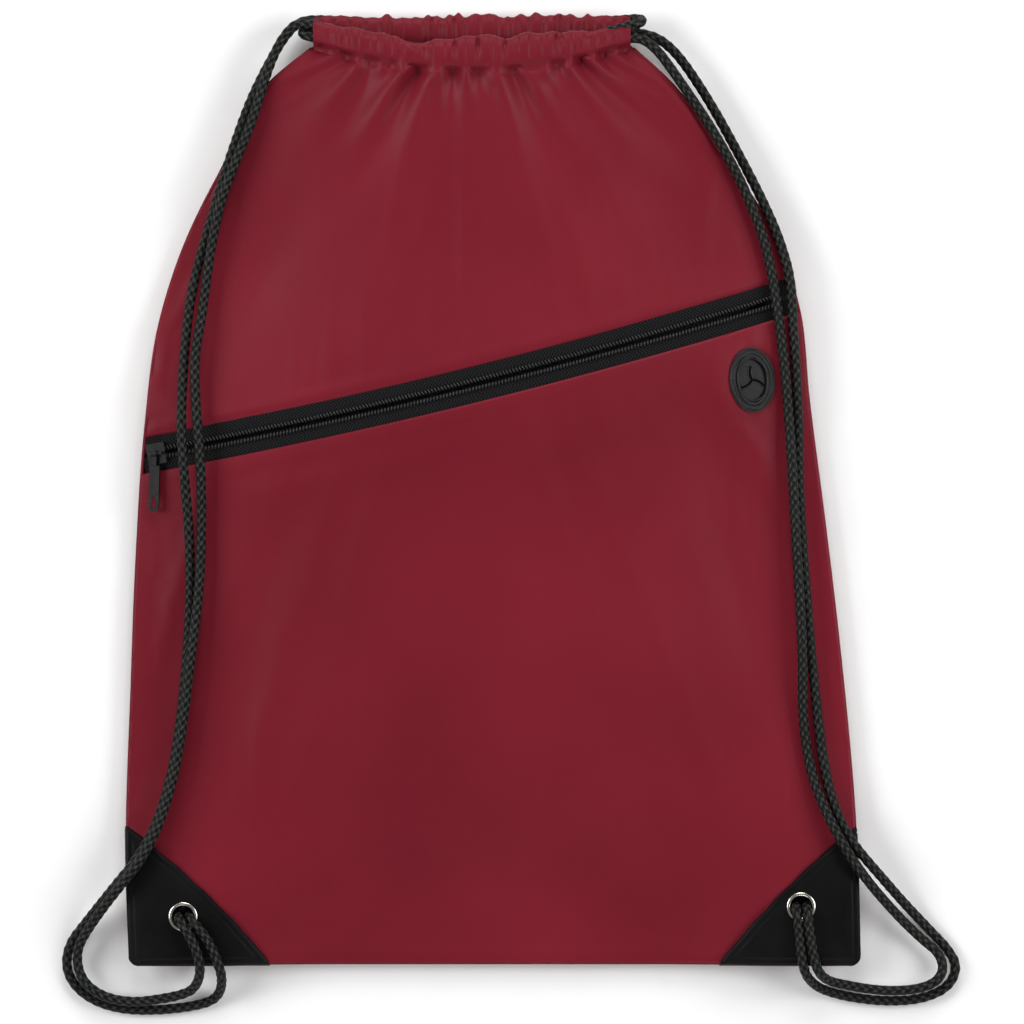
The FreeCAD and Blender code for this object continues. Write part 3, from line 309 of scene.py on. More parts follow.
front_top = Surface("front_upper_panel", "front_lower_panel")
back_under = Surface("back_panel", top=False)

# ---------------------------------------------------------------- materials


class Nodes:
    """Short calls for building a material's node tree."""

    def __init__(self, name):
        self.material = bpy.data.materials.new(name)
        self.material.use_nodes = True
        self.tree = self.material.node_tree
        self.shader = self.tree.nodes["Principled BSDF"]
        self.coords = self.tree.nodes.new("ShaderNodeTexCoord")

    def add(self, kind, **settings):
        node = self.tree.nodes.new(kind)
        for key, value in settings.items():
            setattr(node, key, value)
        return node

    def link(self, source, target):
        self.tree.links.new(source, target)

    def mapping(self, output, scale=(1, 1, 1), turn=0.0):
        node = self.add("ShaderNodeMapping")
        node.inputs["Scale"].default_value = scale
        node.inputs["Rotation"].default_value = (0, 0, turn)
        self.link(self.coords.outputs[output], node.inputs["Vector"])
        return node.outputs["Vector"]

    def noise(self, vector, scale, detail=3.0):
        node = self.add("ShaderNodeTexNoise")
        node.inputs["Scale"].default_value = scale
        node.inputs["Detail"].default_value = detail
        self.link(vector, node.inputs["Vector"])
        return node.outputs["Fac"]

    def wave(self, vector, scale, direction, distortion=0.0):
        node = self.add("ShaderNodeTexWave", bands_direction=direction)
        node.inputs["Scale"].default_value = scale
        node.inputs["Distortion"].default_value = distortion
        self.link(vector, node.inputs["Vector"])
        return node.outputs["Fac"]

    def maths(self, operation, first, second):
        node = self.add("ShaderNodeMath", operation=operation)
        for socket, value in zip(node.inputs, (first, second)):
            if isinstance(value, (int, float)):
                socket.default_value = value
            else:
                self.link(value, socket)
        return node.outputs[0]

    def ramp(self, value, *stops):
        node = self.add("ShaderNodeValToRGB")
        elements = node.color_ramp.elements
        while len(elements) < len(stops):
            elements.new(0.5)
        for element, (place, color) in zip(elements, stops):
            element.position = place
            element.color = (*color, 1.0)
        self.link(value, node.inputs["Fac"])
        return node.outputs["Color"]

    def color(self, output):
        self.link(output, self.shader.inputs["Base Color"])

    def roughness(self, value, low, high):
        node = self.add("ShaderNodeMapRange")
        node.inputs["To Min"].default_value = low
        node.inputs["To Max"].default_value = high
        self.link(value, node.inputs["Value"])
        self.link(node.outputs["Result"], self.shader.inputs["Roughness"])

    def bump(self, height, strength, distance):
        """Adds a bump on top of those already there."""
        node = self.add("ShaderNodeBump")
        node.inputs["Strength"].default_value = strength
        node.inputs["Distance"].default_value = distance
        self.link(height, node.inputs["Height"])
        normal = self.shader.inputs["Normal"]
        if normal.is_linked:
            self.link(normal.links[0].from_socket, node.inputs["Normal"])
        self.link(node.outputs["Normal"], normal)

    def set(self, **values):
        for key, value in values.items():
            self.shader.inputs[key.replace("_", " ")].default_value = value
        return self.material


def shell_fabric():
    """Coated polyester: smooth maroon with a fine plain weave and a soft gloss."""
    m = Nodes("shell_fabric")
    place = m.mapping("Object")
    broad = m.noise(place, 9.0, 2.0)
    m.color(m.ramp(broad, (0.30, (0.147, 0.0078, 0.0165)), (0.72, (0.186, 0.0108, 0.0220))))
    m.roughness(m.noise(place, 160.0, 3.0), 0.40, 0.50)
    weave = m.maths("ADD", m.wave(place, 420.0, "X"), m.wave(place, 420.0, "Y"))
    m.bump(weave, 0.10, 0.0001)
    m.bump(m.noise(place, 75.0, 4.0), 0.10, 0.0010)
    return m.set(Specular_IOR_Level=0.13, Sheen_Weight=0.03, Sheen_Roughness=0.45,
                 Sheen_Tint=(0.9, 0.25, 0.3, 1.0))


def lining_fabric():
    m = Nodes("lining_fabric")
    place = m.mapping("Object")
    m.color(m.ramp(m.noise(place, 60.0), (0.3, (0.018, 0.017, 0.018)), (0.7, (0.030, 0.028, 0.030))))
    weave = m.maths("ADD", m.wave(place, 300.0, "X"), m.wave(place, 300.0, "Y"))
    m.bump(weave, 0.25, 0.0002)
    return m.set(Roughness=0.75, Specular_IOR_Level=0.2)


def vinyl():
    """Smooth black synthetic leather with a faint grain and worn-soft gloss."""
    m = Nodes("vinyl")
    place = m.mapping("Object")
    m.color(m.ramp(m.noise(place, 40.0), (0.3, (0.0040, 0.0040, 0.0044)), (0.7, (0.0070, 0.0070, 0.0076))))
    grain = m.add("ShaderNodeTexVoronoi")
    grain.inputs["Scale"].default_value = 1500.0
    m.link(place, grain.inputs["Vector"])
    m.roughness(m.noise(place, 220.0), 0.36, 0.50)
    m.bump(grain.outputs["Distance"], 0.16, 0.00012)
    m.bump(m.noise(place, 130.0, 3.0), 0.12, 0.0008)
    return m.set(Specular_IOR_Level=0.08)


def cord_braid():
    """Braid: black yarn with painted shade in the grooves and a lighter grey-green painted highlight on the
    crowns of the strands.
    """
    m = Nodes("cord_braid")
    # The crown layer is the braid's surface height; the ramp below turns it into painted shade in the
    # grooves and a painted highlight on the crowns.
    crown = m.add("ShaderNodeVertexColor", layer_name="crown")
    fibre = m.noise(m.mapping("Object"), 1600.0, 2.0)
    painted_shade_and_fibre = m.maths("MULTIPLY", crown.outputs["Color"],
                    m.maths("ADD", m.maths("MULTIPLY", fibre, 0.9), 0.55))
    m.color(m.ramp(painted_shade_and_fibre, (0.12, (0.0018, 0.0018, 0.0020)), (0.60, (0.0062, 0.0066, 0.0062)),
                   (0.97, (0.050, 0.055, 0.049))))
    m.bump(fibre, 0.35, 0.00015)
    return m.set(Roughness=0.50, Specular_IOR_Level=0.09)


def zipper_tape():
    """Herringbone twill: slanted ribs that turn back in narrow columns along the tape, coloured darker in
    the grooves between the ribs as painted shade.
    """
    m = Nodes("zipper_tape")
    place = m.mapping("Object", turn=-zip_turn)
    split = m.add("ShaderNodeSeparateXYZ")
    m.link(place, split.inputs["Vector"])
    along = m.maths("MULTIPLY", split.outputs["X"], 1.0 / 0.0016)
    columns = m.maths("PINGPONG", split.outputs["Y"], 0.0028)
    slant = m.maths("MULTIPLY", columns, 1.0 / 0.0016)
    rib = m.maths("PINGPONG", m.maths("ADD", along, slant), 0.5)
    # Painted shade: the black tape is coloured darker in the grooves and lighter on the ribs' tops,
    # following the bump's height.
    m.color(m.ramp(rib, (0.08, (0.0018, 0.0018, 0.0020)), (0.42, (0.0170, 0.0170, 0.0185))))
    m.bump(rib, 0.8, 0.0004)
    return m.set(Roughness=0.72, Specular_IOR_Level=0.07)


def zipper_coil():
    m = Nodes("zipper_coil")
    place = m.mapping("Object")
    m.color(m.ramp(m.noise(place, 900.0), (0.3, (0.010, 0.010, 0.011)), (0.7, (0.020, 0.020, 0.022))))
    m.roughness(m.noise(place, 500.0), 0.30, 0.45)
    return m.set(Specular_IOR_Level=0.40)


def slider_metal():
    """Black lacquer, a little worn."""
    m = Nodes("slider_metal")
    place = m.mapping("Object")
    worn = m.noise(place, 700.0, 4.0)
    m.color(m.ramp(worn, (0.55, (0.007, 0.007, 0.008)), (0.80, (0.035, 0.034, 0.033))))
    m.roughness(worn, 0.24, 0.42)
    m.bump(worn, 0.05, 0.0001)
    return m.set(Specular_IOR_Level=0.30)


def port_rubber():
    m = Nodes("port_rubber")
    place = m.mapping("Object")
    m.color(m.ramp(m.noise(place, 300.0), (0.3, (0.0040, 0.0040, 0.0044)), (0.7, (0.0070, 0.0070, 0.0076))))
    m.roughness(m.noise(place, 900.0), 0.24, 0.34)
    m.bump(m.noise(place, 2500.0, 2.0), 0.10, 0.0001)
    return m.set(Specular_IOR_Level=0.32)


def eyelet_metal():
    """Bright nickel with fine scratches."""
    m = Nodes("eyelet_metal")
    place = m.mapping("Object", scale=(1.0, 6.0, 1.0))
    scratch = m.noise(place, 900.0, 4.0)
    m.color(m.ramp(scratch, (0.35, (0.70, 0.65, 0.57)), (0.70, (0.86, 0.82, 0.75))))
    m.roughness(scratch, 0.14, 0.30)
    m.bump(scratch, 0.04, 0.0001)
    return m.set(Metallic=1.0)


def thread():
    """Sewing thread, two twisted plies, with painted shade in the grooves of the twist."""
    m = Nodes("thread")
    place = m.mapping("Object", turn=0.6)
    ply = m.wave(place, 900.0, "DIAGONAL")
    # Painted shade: darker where the twist's bump is low, lighter on the plies.
    m.color(m.ramp(ply, (0.2, (0.008, 0.008, 0.009)), (0.8, (0.030, 0.030, 0.032))))
    m.bump(ply, 0.5, 0.0002)
    return m.set(Roughness=0.55)


MATERIALS = {make.__name__: make() for make in (
    shell_fabric, lining_fabric, vinyl, cord_braid, zipper_tape, zipper_coil, slider_metal,
    port_rubber, eyelet_metal, thread)}


def thicken(piece, thickness):
    """Give a sheet its thickness in mm, on the inner side."""
    solid = piece.modifiers.new("thick", "SOLIDIFY")
    solid.thickness = thickness * MM
    solid.offset = -1.0
    apply_modifiers(piece)


def finish_piece(piece, material, replaced=()):
    """Material, smooth shading, and hiding the CAD nodes that the piece stands for."""
    piece.data.materials.clear()
    piece.data.materials.append(MATERIALS[material])
    if replaced:
        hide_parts(*replaced)
    shade_smooth(piece)
    return piece


def paint_node(node, material):
    """A CAD node that stays as it is gets its finished material."""
    mesh = NODES[node].data
    mesh.materials.clear()
    mesh.materials.append(MATERIALS[material])


# ---------------------------------------------------------------- camera and light

CAMERA_HIGH = 3.0
PICTURE_WIDE = 0.4756      # width of the picture at the bag's middle height
PICTURE_CENTRE = (0.0086, -0.0102)
MIDDLE_HEIGHT = 0.014


def add_camera():
    data = bpy.data.cameras.new("camera")
    data.sensor_width = 36.0
    data.lens = 36.0 * (CAMERA_HIGH - MIDDLE_HEIGHT) / PICTURE_WIDE
    camera = bpy.data.objects.new("camera", data)
    camera.location = (*PICTURE_CENTRE, CAMERA_HIGH)
    bpy.context.scene.collection.objects.link(camera)
    bpy.context.scene.camera = camera


def add_area(name, place, target, wide, power):
    data = bpy.data.lights.new(name, "AREA")
    data.shape = "SQUARE"
    data.size = wide
    data.energy = power
    light = bpy.data.objects.new(name, data)
    light.location = place
    light.rotation_euler = (Vector(target) - Vector(place)).to_track_quat("-Z", "Y").to_euler()
    bpy.context.scene.collection.objects.link(light)


FLOOR_HALF = 5.0
ROOM_LIGHT = 0.16          # what the backdrop adds to the light
BACKDROP = 1.0             # how bright the camera sees it


def add_stage():
    """Wide pale floor in front of a white backdrop on every side, and soft studio light."""
    verts = [(x, y, -0.0004) for y in (-FLOOR_HALF, FLOOR_HALF) for x in (-FLOOR_HALF, FLOOR_HALF)]
    mesh = bpy.data.meshes.new("floor")
    mesh.from_pydata(verts, [], grid_faces(2, 2))
    floor = bpy.data.objects.new("floor", mesh)
    bpy.context.scene.collection.objects.link(floor)
    shade_smooth(floor)
    m = Nodes("floor")
    grain = m.noise(m.mapping("Object"), 30.0)
    m.color(m.ramp(grain, (0.3, (0.93, 0.93, 0.93)), (0.7, (0.95, 0.95, 0.95))))
    mesh.materials.append(m.set(Roughness=0.9, Specular_IOR_Level=0.1))
    add_area("left_box", (-1.7, 0.3, 1.3), (0, 0, 0), 1.2, 28.5)
    add_area("right_box", (1.7, 0.2, 1.3), (0, 0, 0), 1.2, 25.0)
    add_area("mouth_box", (0.1, 1.9, 1.3), (0, 0, 0), 1.2, 25.0)
    add_area("bottom_box", (0.0, -1.9, 1.2), (0, 0, 0), 1.2, 12.0)
    world = bpy.data.worlds.new("studio")
    world.use_nodes = True
    world.node_tree.nodes["Background"].inputs["Color"].default_value = (1, 1, 1, 1)
    path = world.node_tree.nodes.new("ShaderNodeLightPath")
    bright = world.node_tree.nodes.new("ShaderNodeMath")
    bright.operation = "MULTIPLY_ADD"
    bright.inputs[1].default_value = BACKDROP - ROOM_LIGHT
    bright.inputs[2].default_value = ROOM_LIGHT
    world.node_tree.links.new(path.outputs["Is Camera Ray"], bright.inputs[0])
    world.node_tree.links.new(bright.outputs[0],
                              world.node_tree.nodes["Background"].inputs["Strength"])
    bpy.context.scene.world = world


add_camera()
bpy.context.scene.view_settings.view_transform = "Standard"
add_stage()

# ---------------------------------------------------------------- drawcords

CORD_SIDES = 20
CORD_STEP = 0.5            # mm between the rings of the tube
CARRIERS = 4               # strands each way round, as seen on one face of the braid
BRAID_PITCH = 4.3          # mm between the chevrons
BRAID_DEPTH = 0.52


def route_line(name, route):
    """Points along the NURBS curve whose control points are the route's."""
    data = bpy.data.curves.new(name + "_line", "CURVE")
    data.dimensions = "3D"
    data.resolution_u = 16
    spline = data.splines.new("NURBS")
    spline.points.add(len(route) - 1)
    for point, place in zip(spline.points, route):
        point.co = (*place, 1.0)
    spline.order_u = 3
    spline.use_endpoint_u = True
    line = bpy.data.objects.new(name + "_line", data)
    bpy.context.scene.collection.objects.link(line)
    made = bpy.data.meshes.new_from_object(line.evaluated_get(bpy.context.evaluated_depsgraph_get()))
    points = np.array([v.co[:] for v in made.vertices])
    bpy.data.meshes.remove(made)
    bpy.data.objects.remove(line)
    bpy.data.curves.remove(data)
    return points


def even_points(points, step):
    """The same line, with points at an even step."""
    lengths = np.concatenate([[0.0], np.cumsum(np.linalg.norm(np.diff(points, axis=0), axis=1))])
    count = int(lengths[-1] / step) + 1
    places = np.linspace(0.0, lengths[-1], count)
    return np.stack([np.interp(places, lengths, points[:, k]) for k in range(3)], axis=1), places


def line_frames(points):
    """Two directions across the line at each point, carried along without twist."""
    tangents = np.gradient(points, axis=0)
    tangents /= np.linalg.norm(tangents, axis=1)[:, None]
    side = np.cross(tangents[0], (0.0, 0.0, 1.0))
    if np.linalg.norm(side) < 0.1:
        side = np.cross(tangents[0], (0.0, 1.0, 0.0))
    sides = []
    for tangent in tangents:
        side = side - tangent * np.dot(side, tangent)
        side = side / np.linalg.norm(side)
        sides.append(side)
    sides = np.array(sides)
    return sides, np.cross(tangents, sides)


def braid_height(along, angle, pitch):
    """Height of the braid's surface, 0 in the grooves to 1 on the strands' crowns."""
    turn = CARRIERS * angle / math.pi
    rise = 2.0 * along / pitch
    first = np.abs(np.mod(rise + turn, 2.0) - 1.0)
    second = np.abs(np.mod(rise - turn, 2.0) - 1.0)
    over = 0.5 + 0.5 * np.cos(math.pi * turn)
    return np.clip(first * over + second * (1.0 - over), 0.0, 1.0) ** 0.6


def braided_tube(name, points, round_mm, pitch=BRAID_PITCH, sides=CORD_SIDES):
    """A tube with the braid's strands standing out of its surface."""
    step = CORD_STEP * MM
    line, places = even_points(points, step)
    across, upward = line_frames(line)
    angles = np.arange(sides) * 2.0 * math.pi / sides
    height = braid_height(places[:, None] / MM, angles[None, :], pitch)
    radius = (round_mm / 2.0 - BRAID_DEPTH * (1.0 - height)) * MM
    ring = (across[:, None, :] * np.cos(angles)[None, :, None]
            + upward[:, None, :] * np.sin(angles)[None, :, None])
    verts = line[:, None, :] + ring * radius[:, :, None]
    faces = grid_faces(len(line), sides, close_columns=True)
    faces.append(tuple(range(sides))[::-1])
    last = (len(line) - 1) * sides
    faces.append(tuple(range(last, last + sides)))
    piece = new_object(name, verts.reshape(-1, 3), faces)
    # The braid's height as a colour layer, which the cord material turns into painted shade in the grooves
    # and a painted highlight on the crowns.
    layer = piece.data.color_attributes.new("crown", "FLOAT_COLOR", "POINT")
    shade = np.repeat(height.reshape(-1, 1), 4, axis=1)
    shade[:, 3] = 1.0
    layer.data.foreach_set("color", shade.ravel())
    return piece, line


def knot(side, cad_node):
    """An overhand knot of the same cord, pulled into a ball behind the eyelet."""
    low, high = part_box(cad_node)
    centre = (np.array(low) + np.array(high)) / 2.0
    half = (np.array(high) - np.array(low)) / 2.0
    turn = np.linspace(0.0, 2.0 * math.pi, 160)
    loop = np.stack([np.sin(turn) + 2.0 * np.sin(2.0 * turn),
                     np.cos(turn) - 2.0 * np.cos(2.0 * turn),
                     -np.sin(3.0 * turn)], axis=1)
    loop /= np.abs(loop).max(axis=0)
    room = half - CORD * 0.46 * MM
    piece, _ = braided_tube(side + "_cord_knot", centre + loop * room, CORD * 0.92)
    return finish_piece(piece, "cord_braid", [cad_node])


cord_lines = {}
for side, route in (("left", LEFT_ROUTE), ("right", RIGHT_ROUTE)):
    cord, line = braided_tube(side + "_braided_cord", route_line(side, route), CORD)
    finish_piece(cord, "cord_braid", [side + "_drawcord"])
    tied = knot(side, side + "_knot")
    cord_lines[side] = line
# ---------------------------------------------------------------- fabric shapes

# Folds that fan out from the gathered mouth: X at the mouth, sideways run per mm downwards,
# depth, half width at the mouth, and length.
FOLDS = [
    (-71.3, -1.00, 1.6, 2.2, 34.0), (-57.9, -1.16, 2.4, 2.6, 56.0), (-54.0, -0.34, 2.6, 2.4, 78.0),
    (-43.5, -0.55, 1.6, 2.0, 46.0), (-31.8, -0.48, 3.6, 2.2, 86.0), (-27.6, -0.55, 2.6, 1.5, 26.0),
    (-17.9, -0.07, 3.6, 1.9, 44.0), (-7.4, 0.05, 3.4, 1.6, 30.0), (5.3, 0.45, 3.0, 2.4, 88.0),
    (14.0, 0.20, 1.2, 2.2, 34.0), (29.7, 0.07, 3.2, 1.4, 28.0), (33.2, 0.83, 3.2, 2.2, 84.0),
    (44.8, 0.70, 2.8, 2.2, 70.0), (53.0, 0.86, 2.0, 2.0, 38.0),
]
# Long faint undulations of the lightly filled bag: centre X and Y, direction in degrees,
# height, half length and half width.
UNDULATIONS = [
    (-70.0, 60.0, 62.0, 0.9, 60.0, 16.0), (40.0, 105.0, -50.0, 0.9, 52.0, 15.0),
    (-20.0, 120.0, 75.0, -0.9, 48.0, 18.0), (92.0, 110.0, -58.0, -1.0, 40.0, 12.0),
    (-112.0, 90.0, 60.0, -1.0, 44.0, 11.0), (-60.0, -40.0, 14.0, 0.9, 90.0, 22.0),
    (50.0, -70.0, -20.0, 0.9, 80.0, 24.0), (-40.0, -130.0, 35.0, -0.8, 60.0, 18.0),
    (80.0, -150.0, -35.0, 0.8, 50.0, 16.0), (0.0, -195.0, 2.0, 0.7, 90.0, 9.0),
    (-120.0, -100.0, 80.0, -0.8, 70.0, 12.0), (110.0, -20.0, -78.0, -0.8, 60.0, 11.0),
    (10.0, 10.0, 12.0, -0.7, 90.0, 16.0), (-90.0, 5.0, 14.0, 0.8, 50.0, 10.0),
]


def channel_y(x, mouth):
    """Y of a channel's middle line."""
    end, sag = mouth[:2]
    place = (2.0 * x - CHANNEL_LEFT - CHANNEL_RIGHT) / (CHANNEL_RIGHT - CHANNEL_LEFT)
    return end - sag * (1.0 - np.clip(place ** 2, 0.0, 1.6))


def front_mouth_y(x):
    return channel_y(x, FRONT_MOUTH)


def back_mouth_y(x):
    return channel_y(x, BACK_MOUTH)


def mouth_folds(x, y):
    """Depth of the gathered folds, which soften and widen away from the mouth."""
    down = front_mouth_y(x) - y
    total = np.zeros_like(x)
    for start, lean, depth, half, length in FOLDS:
        run = np.clip(down / length, 0.0, 1.0)
        centre = start + lean * np.clip(down, 0.0, None)
        width = half * (1.0 + 3.6 * run)
        valley = np.exp(-((x - centre) / width) ** 2)
        ridges = np.exp(-((np.abs(x - centre) - 2.0 * width) / width) ** 2)
        total += 1.35 * depth * (1.0 - run) ** 1.5 * (0.35 * ridges - valley)
    return total


def undulations(x, y):
    total = np.zeros_like(x)
    for cx, cy, turn, high, half_long, half_wide in UNDULATIONS:
        c, s = math.cos(math.radians(turn)), math.sin(math.radians(turn))
        along = (x - cx) * c + (y - cy) * s
        aside = (y - cy) * c - (x - cx) * s
        total += high * np.exp(-(along / half_long) ** 2 - (aside / half_wide) ** 2)
    return total


def uneven_waves(place, length):
    """Waves of about this length whose size and spacing wander."""
    return (np.sin(2 * math.pi * place / length + 1.3 * np.sin(place / (length * 2.1)))
            * (0.6 + 0.4 * np.sin(place / (length * 1.7) + 0.8)))


def puckers(x, y):
    """Short ripples where the fabric is sewn: along the zipper and the seams."""
    along, aside = zip_place(x, y)
    from_fold = np.abs(aside) - PANEL_EDGE
    total = 0.09 * uneven_waves(along, 14.0) * np.exp(-np.clip(from_fold, 0.0, None) / 7.0)
    for seam, sign in ((left_seam, 1.0), (right_seam, -1.0)):
        inside = np.clip((x - seam(y)) * sign, 0.0, None)
        total += 0.20 * uneven_waves(y + 0.35 * inside, 12.5) * np.exp(-inside / 7.0)
    total += 0.20 * uneven_waves(x, 11.5) * np.exp(-np.clip(y - BOTTOM, 0.0, None) / 6.5)
    near = np.hypot(x - PORT[0], y - PORT[1])
    around = np.arctan2(y - PORT[1], x - PORT[0]) * 18.0
    total += 0.25 * uneven_waves(around, 9.0) * np.exp(-np.clip(near - 15.0, 0.0, None) / 5.0)
    return total


def cord_ceiling():
    """Height under the cords on a 1 mm raster, so that the fabric stays below them."""
    ceiling = np.full((520, 460), 1000.0)
    for line in cord_lines.values():
        for x, y, z in line[::2] / MM:
            column, row = int(round(x)) + 230, int(round(y)) + 260
            for i in range(row - 4, row + 5):
                for j in range(column - 4, column + 5):
                    reach = math.hypot(j - 230 - x, i - 260 - y)
                    if reach < 3.6 and 0 <= i < 520 and 0 <= j < 460:
                        under = z - math.sqrt(max(CORD ** 2 / 4.0 - reach ** 2, 0.0)) - 0.25
                        ceiling[i, j] = min(ceiling[i, j], under + max(reach - 2.4, 0.0) * 1.5)
    return ceiling


CEILING = cord_ceiling()


def under_cords(x, y, z):
    """The same heights, pressed down where a cord lies on the fabric."""
    column = np.clip(np.round(x).astype(int) + 230, 0, 459)
    row = np.clip(np.round(y).astype(int) + 260, 0, 519)
    return np.minimum(z, CEILING[row, column])


def open_sheet(name, x, y, z, flip=False, port=False):
    """A sheet through a grid of points in mm, punched for the eyelets and the cable port."""
    holes = [(LEFT_EYELET, 5.25), (RIGHT_EYELET, 5.25)] + ([(PORT[:2], 7.4)] if port else [])
    clear = np.min([np.hypot(x - spot[0], y - spot[1]) - round_mm for spot, round_mm in holes],
                   axis=0).ravel()
    faces = [face for face in grid_faces(*x.shape) if clear[list(face)].min() > 0.0]
    if flip:
        faces = [face[::-1] for face in faces]
    piece = new_object(name, np.stack([x, y, z], axis=2).reshape(-1, 3) * MM, faces)
    clean = bmesh.new()
    clean.from_mesh(piece.data)
    bmesh.ops.remove_doubles(clean, verts=clean.verts, dist=0.00001)
    loose = [v for v in clean.verts if not v.link_faces]
    bmesh.ops.delete(clean, geom=loose, context="VERTS")
    clean.to_mesh(piece.data)
    clean.free()
    return piece


# ---------------------------------------------------------------- cloth simulation

SIM_FRAMES = 28
COARSE = 3.4               # mm between the points of the simulated sheet


def relax_cloth(name, points, pinned, growth, most):
    """Lets a pinned sheet with a little too much cloth in it settle; how far points move."""
    rows, columns = points.shape[:2]
    mesh = bpy.data.meshes.new(name)
    mesh.from_pydata([tuple(p * MM) for p in points.reshape(-1, 3)], [], grid_faces(rows, columns))
    sheet = bpy.data.objects.new(name, mesh)
    bpy.context.scene.collection.objects.link(sheet)
    pins = sheet.vertex_groups.new(name="pins")
    loose = sheet.vertex_groups.new(name="loose")
    for index, (hold, grow) in enumerate(zip(pinned.ravel(), growth.ravel())):
        pins.add([index], float(hold), "REPLACE")
        loose.add([index], float(grow), "REPLACE")
    cloth = sheet.modifiers.new("cloth", "CLOTH")
    settings = cloth.settings
    settings.quality = 8
    settings.mass = 0.12
    settings.tension_stiffness = 20.0
    settings.compression_stiffness = 20.0
    settings.shear_stiffness = 8.0
    settings.bending_stiffness = 0.8
    settings.tension_damping = 12.0
    settings.compression_damping = 12.0
    settings.bending_damping = 1.0
    settings.air_damping = 4.0
    settings.vertex_group_mass = "pins"
    settings.pin_stiffness = 1.0
    settings.vertex_group_shrink = "loose"
    settings.shrink_min = 0.0
    settings.shrink_max = -0.06
    settings.effector_weights.gravity = 0.05
    cloth.collision_settings.use_collision = False
    cloth.point_cache.frame_start = 1
    cloth.point_cache.frame_end = SIM_FRAMES
    scene = bpy.context.scene
    for frame_number in range(1, SIM_FRAMES + 1):
        scene.frame_set(frame_number)
    graph = bpy.context.evaluated_depsgraph_get()
    made = bpy.data.meshes.new_from_object(sheet.evaluated_get(graph))
    moved = np.array([v.co[:] for v in made.vertices]).reshape(rows, columns, 3) / MM - points
    bpy.data.objects.remove(sheet)
    scene.frame_set(1)
    far = np.linalg.norm(moved, axis=2, keepdims=True)
    moved *= most * np.tanh(far / most) / np.maximum(far, 1e-6)
    print("%s: cloth moved %.2f mm at most" % (name, float(np.linalg.norm(moved, axis=2).max())))
    return moved


def resample(field, rows, columns):
    """A coarse grid of vectors on a finer grid, smoothed."""
    old_rows = np.linspace(0.0, 1.0, field.shape[0])
    old_columns = np.linspace(0.0, 1.0, field.shape[1])
    tall = np.stack([np.stack([np.interp(np.linspace(0, 1, rows), old_rows, field[:, j, k])
                               for j in range(field.shape[1])], axis=1) for k in range(3)], axis=2)
    wide = np.stack([np.stack([np.interp(np.linspace(0, 1, columns), old_columns, tall[i, :, k])
                               for i in range(rows)], axis=0) for k in range(3)], axis=2)
    for _ in range(3):
        wide[1:-1] = (wide[:-2] + 2.0 * wide[1:-1] + wide[2:]) / 4.0
        wide[:, 1:-1] = (wide[:, :-2] + 2.0 * wide[:, 1:-1] + wide[:, 2:]) / 4.0
    return wide


# ---------------------------------------------------------------- panels


def panel_grid(low_y, high_y, rows, columns):
    """Points of a panel between the side seams; low_y and high_y are functions of X."""
    share = np.linspace(0.0, 1.0, columns)[None, :]
    climb = np.linspace(0.0, 1.0, rows)[:, None]
    x = np.repeat(-150.0 + 300.0 * share, rows, axis=0)
    y = low_y(x) + climb * (high_y(x) - low_y(x))
    for _ in range(8):
        left, right = left_seam(y), right_seam(y)
        x = left + share * (right - left)
        y = low_y(x) + climb * (high_y(x) - low_y(x))
    return x, y


def round_corners(x, y):
    """Pulls the two bottom corners in to their radius."""
    for corner, sign in ((LEFT_SEAM[0][0], 1.0), (RIGHT_SEAM[0][0], -1.0)):
        inner_x = corner + sign * CORNER_ROUND
        inner_y = BOTTOM + CORNER_ROUND
        dx = np.clip((inner_x - x) * sign, 0.0, None)
        dy = np.clip(inner_y - y, 0.0, None)
        far = np.hypot(dx, dy)
        over = np.where((dx > 0) & (dy > 0) & (far > CORNER_ROUND),
                        CORNER_ROUND / np.maximum(far, 1e-6), 1.0)
        x = np.where(over < 1.0, inner_x - sign * dx * over, x)
        y = np.where(over < 1.0, inner_y - dy * over, y)
    return x, y


def edge_distance(x, y):
    """Distance to the nearest sewn edge or fixed thing on the front."""
    _, aside = zip_place(x, y)
    edges = [np.abs(aside) - PANEL_EDGE, x - left_seam(y), right_seam(y) - x, y - BOTTOM,
             front_mouth_y(x) - CHANNEL_WIDE / 2.0 - y,
             np.hypot(x - PORT[0], y - PORT[1]) - PORT_CLEAR,
             np.hypot(x - LEFT_EYELET[0], y - LEFT_EYELET[1]) - EYELET_CLEAR,
             np.hypot(x - RIGHT_EYELET[0], y - RIGHT_EYELET[1]) - EYELET_CLEAR]
    return np.min(edges, axis=0)


